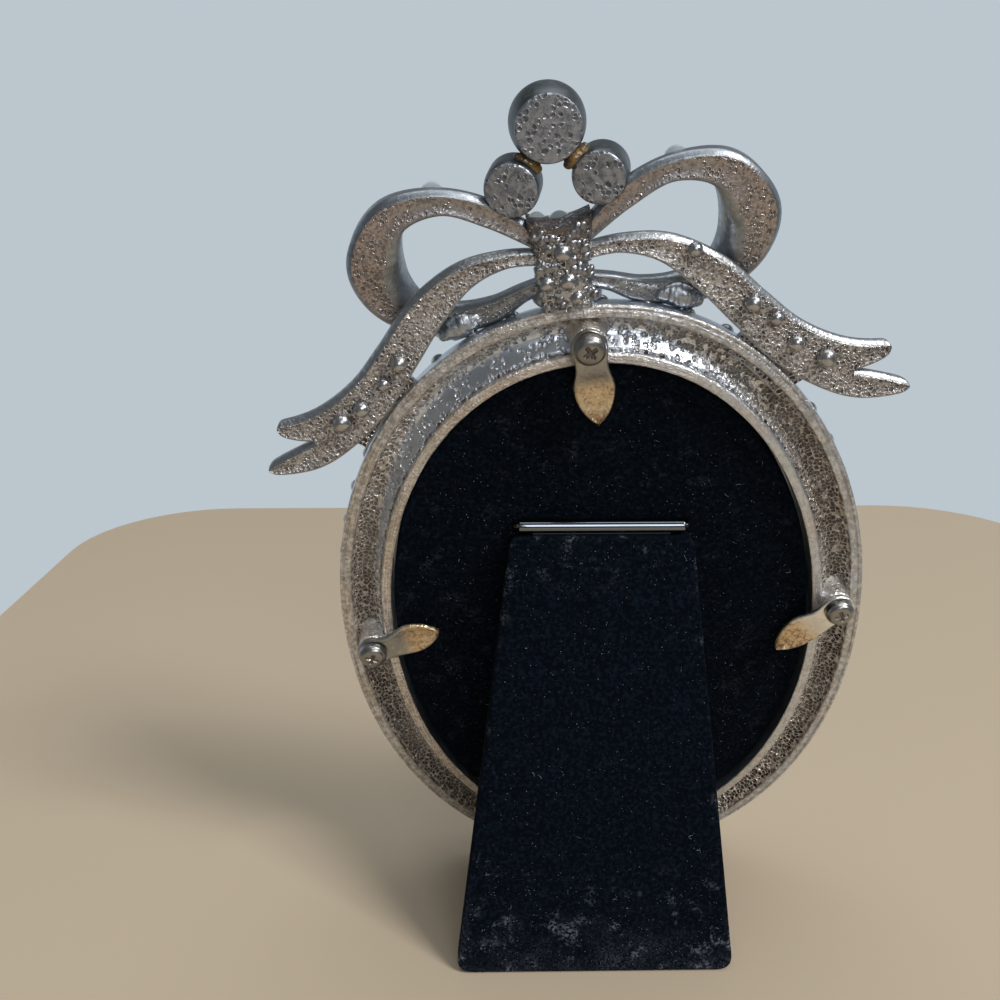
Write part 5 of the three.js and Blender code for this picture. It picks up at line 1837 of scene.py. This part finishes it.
@dataclass
class EaselLeg:
    """The hinged leg: a board with a velvet cover, hung from a chrome barrel."""

    place: Placement
    shop: Workshop
    board: bpy.types.Object
    length: float
    from_upright: float = LEG_OPEN - LEAN
    top_width: float = 26.6
    foot_width: float = 43.6
    top_radius: float = 1.6
    foot_radius: float = 2.6
    head: float = 1.35
    inner: float = -0.95
    core_back: float = 0.75
    back: float = 1.4
    cloth: float = 0.5
    ply: float = 0.15
    edge_round: float = 0.55
    face_rings: int = 44
    barrel_length: float = 24.0
    barrel_radius: float = 1.05
    barrel_round: float = 0.16
    bore: float = 0.63
    plate: Triple = (20.0, 9.0, 0.4)
    plate_top: float = -0.84

    def outline(self, inset: float) -> Points:
        """The leg's tapered outline with round corners, drawn in by an inset.

        Args:
            inset: How far inwards.

        Returns:
            Its points, equally many for every inset.
        """
        top, foot = -self.head - inset, -self.length + inset
        half_top, half_foot = self.top_width / 2 - inset, self.foot_width / 2 - inset
        taper = (half_foot - half_top) / (top - foot)
        small, large = (max(r - inset, 0.3) for r in (self.top_radius, self.foot_radius))
        right = chain(
            (0, foot), (14, (half_foot - large, foot)),
            (8, (half_foot, foot), (half_foot - taper * large, foot + large)),
            (40, (half_top + taper * small, top - small)),
            (8, (half_top, top), (half_top - small, top)), (10, (0, top)),
        )
        right = np.vstack([*right, [[0, top]]])
        return np.vstack([right, right[-2:0:-1] * [-1.0, 1.0]])

    def slanted(self, outline: Points, z: float, share: float = 1.0) -> Points:
        """One ring of the cover, its foot slanted so that the open leg stands flat.

        Args:
            outline: The ring's outline.
            z: Its height over the barrel's axis.
            share: How far from the leg's middle it is.

        Returns:
            The ring's points.
        """
        middle = np.array([0.0, -self.length / 2])
        flat = middle + (outline - middle) * share
        slant = 1 + z * math.tan(self.from_upright) / self.length
        return lifted(flat * [1.0, slant], z)

    def cover(self) -> bpy.types.Object:
        """Makes the velvet, turned down round the board's edges.

        Returns:
            The cloth.
        """
        r, under = self.edge_round, self.core_back + self.ply
        flat = self.outline(r)
        rows = [self.slanted(flat, self.back, share) for share in np.linspace(0.04, 1.0, self.face_rings)]
        for a in EDGE_TURN:
            rows.append(self.slanted(self.outline(r * (1 - math.sin(a))), self.back - r * (1 - math.cos(a))))
        edge_end = len(rows)
        inside = self.outline(self.cloth)
        rows += [self.slanted(self.outline(0), self.inner), self.slanted(inside, self.inner)]
        rows += [self.slanted(inside, under, share) for share in (1.0, 0.5, 0.05)]
        points = np.array(rows)
        down = np.clip(-points[..., 1] / self.length, 0, 1)
        ring = np.arange(len(rows))[:, None]
        edge = smoothstep(self.face_rings - 6, self.face_rings + 1, ring) * (ring < edge_end)
        low = smoothstep(0.7, 0.95, down)
        high = 1 - smoothstep(0.04, 0.2, down)
        lint = (ring < self.face_rings - 1) * (0.6 + low + 0.8 * high)
        shell = Shell("rub", "lint")
        # The edge term is a painted sheen on the rounded edge; the low and high terms are rubbed wear.
        shell.loft(points, rub=0.6 * low + 0.22 * high + 0.25 * edge - 0.1, lint=lint)
        return shell.build("velvet_leg", self.place, VELVET)

    def barrel(self) -> bpy.types.Object:
        """Makes the rolled barrel with the plate that lies in the leg.

        Returns:
            The barrel.
        """
        half, r, corner = self.barrel_length / 2, self.barrel_radius, self.barrel_round
        wall = chain(
            (r - corner, -half), (5, (r, -half), (r, -half + corner)), (12, (r, half - corner)),
            (5, (r, half), (r - corner, half)), (2, (self.bore, half)), (6, (self.bore, -half)),
            (2, (r - corner, -half)),
        )
        tube = turned_rows(np.vstack(wall), 56)[..., [2, 0, 1]]
        shell = Shell()
        shell.loft(tube, closed=True)
        width, length, thick = self.plate
        middle = (self.inner + self.core_back) / 2
        x, z = (np.array([[-1, -1], [1, -1], [1, 1], [-1, 1]]) * [width / 2, thick / 2]).T
        rows = [np.column_stack([x, np.full(len(x), y), middle + z])
                for y in np.linspace(self.plate_top, self.plate_top - length, 4)]
        shell.loft(np.array(rows))
        return shell.build("barrel", self.place, CHROME)

    def build(self) -> None:
        """Makes the cloth, its lint and the barrel, and dresses the board."""
        cloth = self.cover()
        lint = self.shop.lint.scatter_all(
            cloth,
            ("leg_fibres", fibre_rows(0.6, 0.016, 1.1), 16000, 12),
            ("leg_specks", speck_rows(0.042), 600000, 27),
            ("leg_clumps", fibre_rows(1.2, 0.03, 2.6), 5000, 5),
        )
        seat(cloth, Body.STRUT, Slot.VELVET, "strut_velvet")
        turned_down = self.back - self.inner
        cut = tuple(MM * (side + 2 * turned_down) for side in (self.foot_width, self.length - self.head))
        middle = MM * ((self.top_width + self.foot_width) / 2 + 2 * turned_down)
        middle * cut[1]
        for fluff in lint:
            seat(fluff, Body.STRUT, Slot.VELVET)
        dress(self.board, BOARD)
        seat(self.barrel(), Body.STRUT, Slot.CHROME, "hinge_barrel")


def dress(node: bpy.types.Object, finish: Finish) -> None:
    """Gives a solid that keeps its shape its finish.

    Args:
        node: The solid.
        finish: What it is dressed in.
    """
    node.data.materials.clear()
    node.data.materials.append(finish.material())
    LOG.info("%s keeps its solid, in %s", node.name, finish.name)


@dataclass(frozen=True)
class Ground(Finish):
    """The plain pale floor."""

    colour: Colour = (0.49, 0.405, 0.298, 1.0)

    def paint(self, graph: Graph) -> Value:
        """Adds the plain floor."""
        return graph.surface({"Base Color": self.colour, "Roughness": 0.6, "Specular IOR Level": 0.2})


@dataclass
class Studio:
    """Floor, soft light and the camera behind the frame."""

    centre: Vector
    eye: Triple = (18.19, 145.77, 67.46)
    pitch: float = math.radians(17.616)
    yaw: float = math.radians(0.88)
    lens: float = 36.774
    wall: Colour = (0.50, 0.565, 0.615, 1.0)
    room: Colour = (0.12, 0.13, 0.14, 1.0)
    ambient: Colour = (0.18, 0.19, 0.2, 1.0)
    floor: tuple[float, float, float, float] = (-0.178, 0.152, -0.222, 0.34)
    floor_levels: Pair = (-0.018, -0.0001)
    floor_round: float = 0.045

    def camera(self) -> None:
        """Makes the camera at the photograph's place."""
        data = bpy.data.cameras.new("camera")
        data.sensor_fit = "HORIZONTAL"
        data.sensor_width = 36.0
        data.lens = self.lens
        data.clip_start = 0.005
        across, along, level = math.sin(self.yaw), math.cos(self.yaw), math.cos(self.pitch)
        ahead = Vector((-across * level, -along * level, -math.sin(self.pitch)))
        right = Vector((-along, across, 0.0))
        axes = Matrix((right, right.cross(ahead), -ahead)).transposed().to_4x4()
        made = bpy.data.objects.new("camera", data)
        made.matrix_world = Matrix.Translation(self.centre + Vector(self.eye) * MM) @ axes
        bpy.context.scene.collection.objects.link(made)
        bpy.context.scene.camera = made

    def ground(self) -> None:
        """Makes the floor, with round corners."""
        left, right, near, far = self.floor
        r = self.floor_round
        turn = np.linspace(0, np.pi / 2, 12)
        corners = ((right - r, far - r), (left + r, far - r), (left + r, near + r), (right - r, near + r))
        quarters = [turn + quarter * np.pi / 2 for quarter in range(4)]
        outline = np.vstack([np.stack([x + r * np.cos(q), y + r * np.sin(q)], axis=-1)
                             for (x, y), q in zip(corners, quarters)])
        slab = Shell()
        slab.loft(np.array([lifted(outline, z) for z in self.floor_levels]))
        slab.build("floor", Placement(Matrix.Identity(4)), Ground("pale_floor"))

    def lamp(self, name: str, place: Triple, size: Pair, power: float, colour: Triple) -> None:
        """Makes a soft lamp that faces the frame.

        Args:
            name: Its name.
            place: Its place, in metres from the ring's centre.
            size: Its width and height.
            power: Its watts.
            colour: Its colour.
        """
        data = bpy.data.lights.new(name, "AREA")
        data.shape = "RECTANGLE"
        data.size, data.size_y = size
        data.energy = power
        data.color = colour
        made = bpy.data.objects.new(name, data)
        made.location = self.centre + Vector(place)
        made.rotation_euler = Vector(place).to_track_quat("Z", "Y").to_euler()
        bpy.context.scene.collection.objects.link(made)

    def surround(self) -> None:
        """Makes the pale wall ahead and the darker room behind and above, dimmer as light than as seen."""
        world = bpy.data.worlds.new("surround")
        world.use_nodes = True
        world.node_tree.nodes.clear()
        graph = Graph(world.node_tree)
        ahead = graph.node("ShaderNodeSeparateXYZ", inputs={"Vector": graph.place()}, output="Y")
        behind = (ahead - ahead.other("Z") * 0.45).smooth(-0.45, 0.25)
        above = ahead.other("Z").smooth(0.2, 0.6)
        sight = graph.mix((behind + above).held(), self.wall, self.room)
        light = graph.mix(behind, self.ambient, self.room)
        ray = graph.node("ShaderNodeLightPath", output="Is Camera Ray")
        seen = (ray + ray.other("Is Glossy Ray") + ray.other("Is Transmission Ray")).held()
        glow = graph.node("ShaderNodeBackground", inputs={"Color": graph.mix(seen, light, sight)})
        graph.node("ShaderNodeOutputWorld", inputs={"Surface": glow})
        bpy.context.scene.world = world

    def build(self) -> None:
        """Sets up the whole studio."""
        bpy.context.scene.view_settings.view_transform = "Standard"
        self.surround()
        self.camera()
        self.ground()
        self.lamp("window", (-1.2, 1.02, 1.54), (0.6, 0.6), 34.0, (1.0, 0.97, 0.94))
        self.lamp("ceiling", (-0.05, 0.0, 1.1), (1.0, 1.0), 5.0, (0.93, 0.97, 1.0))
        self.lamp("strip", (-0.12, 0.8, 0.36), (0.34, 0.4), 1.7, (0.94, 0.97, 1.0))


def drawing_places(joints: Table) -> tuple[Placement, Placement]:
    """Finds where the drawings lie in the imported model.

    Args:
        joints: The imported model's joints, by name.

    Returns:
        The level drawing, of the hinge and the leg, and the rolled one, of ring, bow and back, both about the
        ring's centre.
    """
    out = Vector(joints["top_button_swivel"]["axis"]).normalized()
    right = Vector((-1.0, 0.0, 0.0))
    low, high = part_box("glass_pane")
    centre = (low + high) / 2 + out * GLASS_MIDDLE * MM
    axes = Matrix((right, out.cross(right), out)).transposed().to_4x4()
    level = Placement(Matrix.Translation(centre) @ axes @ Matrix.Scale(MM, 4))
    return level, level.turned(ROLL)


def crest(bow: Placement, shop: Workshop) -> list[CrestCup]:
    """Lays out the three cups, the large one resting on the small ones.

    Args:
        bow: The bow's drawing.
        shop: The shared recipes.

    Returns:
        The cups.
    """
    small, large, gap = 3.45, 4.65, 0.25
    across, up = 5.3, 15.9
    peak = up + math.sqrt((small + large + gap) ** 2 - across**2)
    cups = (("left", small, -across, up, 0.2, 1.4, -9.0), ("right", small, across, up, 0.25, 1.6, -11.0),
            ("large", large, 0.0, peak, 0.68, 3.5, 0.0))
    return [CrestCup(bow.shifted(x, y).turned(math.radians(askew), "Y"), shop, name, radius, flare, shoulder)
            for name, radius, x, y, flare, shoulder, askew in cups]


def turn_buttons(ring: OvalRing) -> list[TurnButton]:
    """Lays out the three turn buttons on the ring's posts.

    Args:
        ring: The ring.

    Returns:
        The buttons.
    """
    long_leaf, short_leaf = 11.6, 10.7
    buttons = (("top", Body.TOP, -87.0, 0.5, long_leaf, LEAF_BRONZE),
               ("left", Body.LEFT, 12.0, 1.1, short_leaf, LEAF_BRONZE),
               ("right", Body.RIGHT, 220.0, 0.2, long_leaf, WORN_BRONZE))
    return [TurnButton(ring.place.shifted(*ring.post_axis(degrees)), name, body, math.radians(points), *rest)
            for degrees, (name, body, points, *rest) in zip(ring.posts, buttons)]


def main() -> None:
    """Builds the frame's pieces in order."""
    logging.basicConfig(level=logging.INFO, format="%(name)s: %(message)s")
    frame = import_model()
    nodes = frame["nodes"]
    joints = {joint["name"]: joint for joint in frame["joints"]}
    shop = Workshop(PitPress(), BeadSetter(), LintScatter(), WireBender())
    level, rolled = drawing_places(joints)
    Studio(level.matrix.to_translation()).build()

    ring = OvalRing(rolled, shop)
    bow = rolled.turned(BOW_ASKEW).shifted(BOW_SHIFT, ring.half_height)
    leg = level.shifted(*HINGE).turned(-LEG_OPEN, "X")
    leg_length = joints["strut_hinge"]["pos_m"][2] / MM / math.cos(LEG_OPEN - LEAN)
    for piece in (ring, RibbonBow(bow, shop, ring), *crest(bow, shop), *turn_buttons(ring),
                  VelvetBack(level, shop, ring, nodes["backing_board"]),
                  EaselLeg(leg, shop, nodes["strut_board"], leg_length)):
        piece.build()
    dress(nodes["glass_pane"], GLASS)
    dress(nodes["photo_insert"], CARD)


if __name__ == "__main__":
    main()
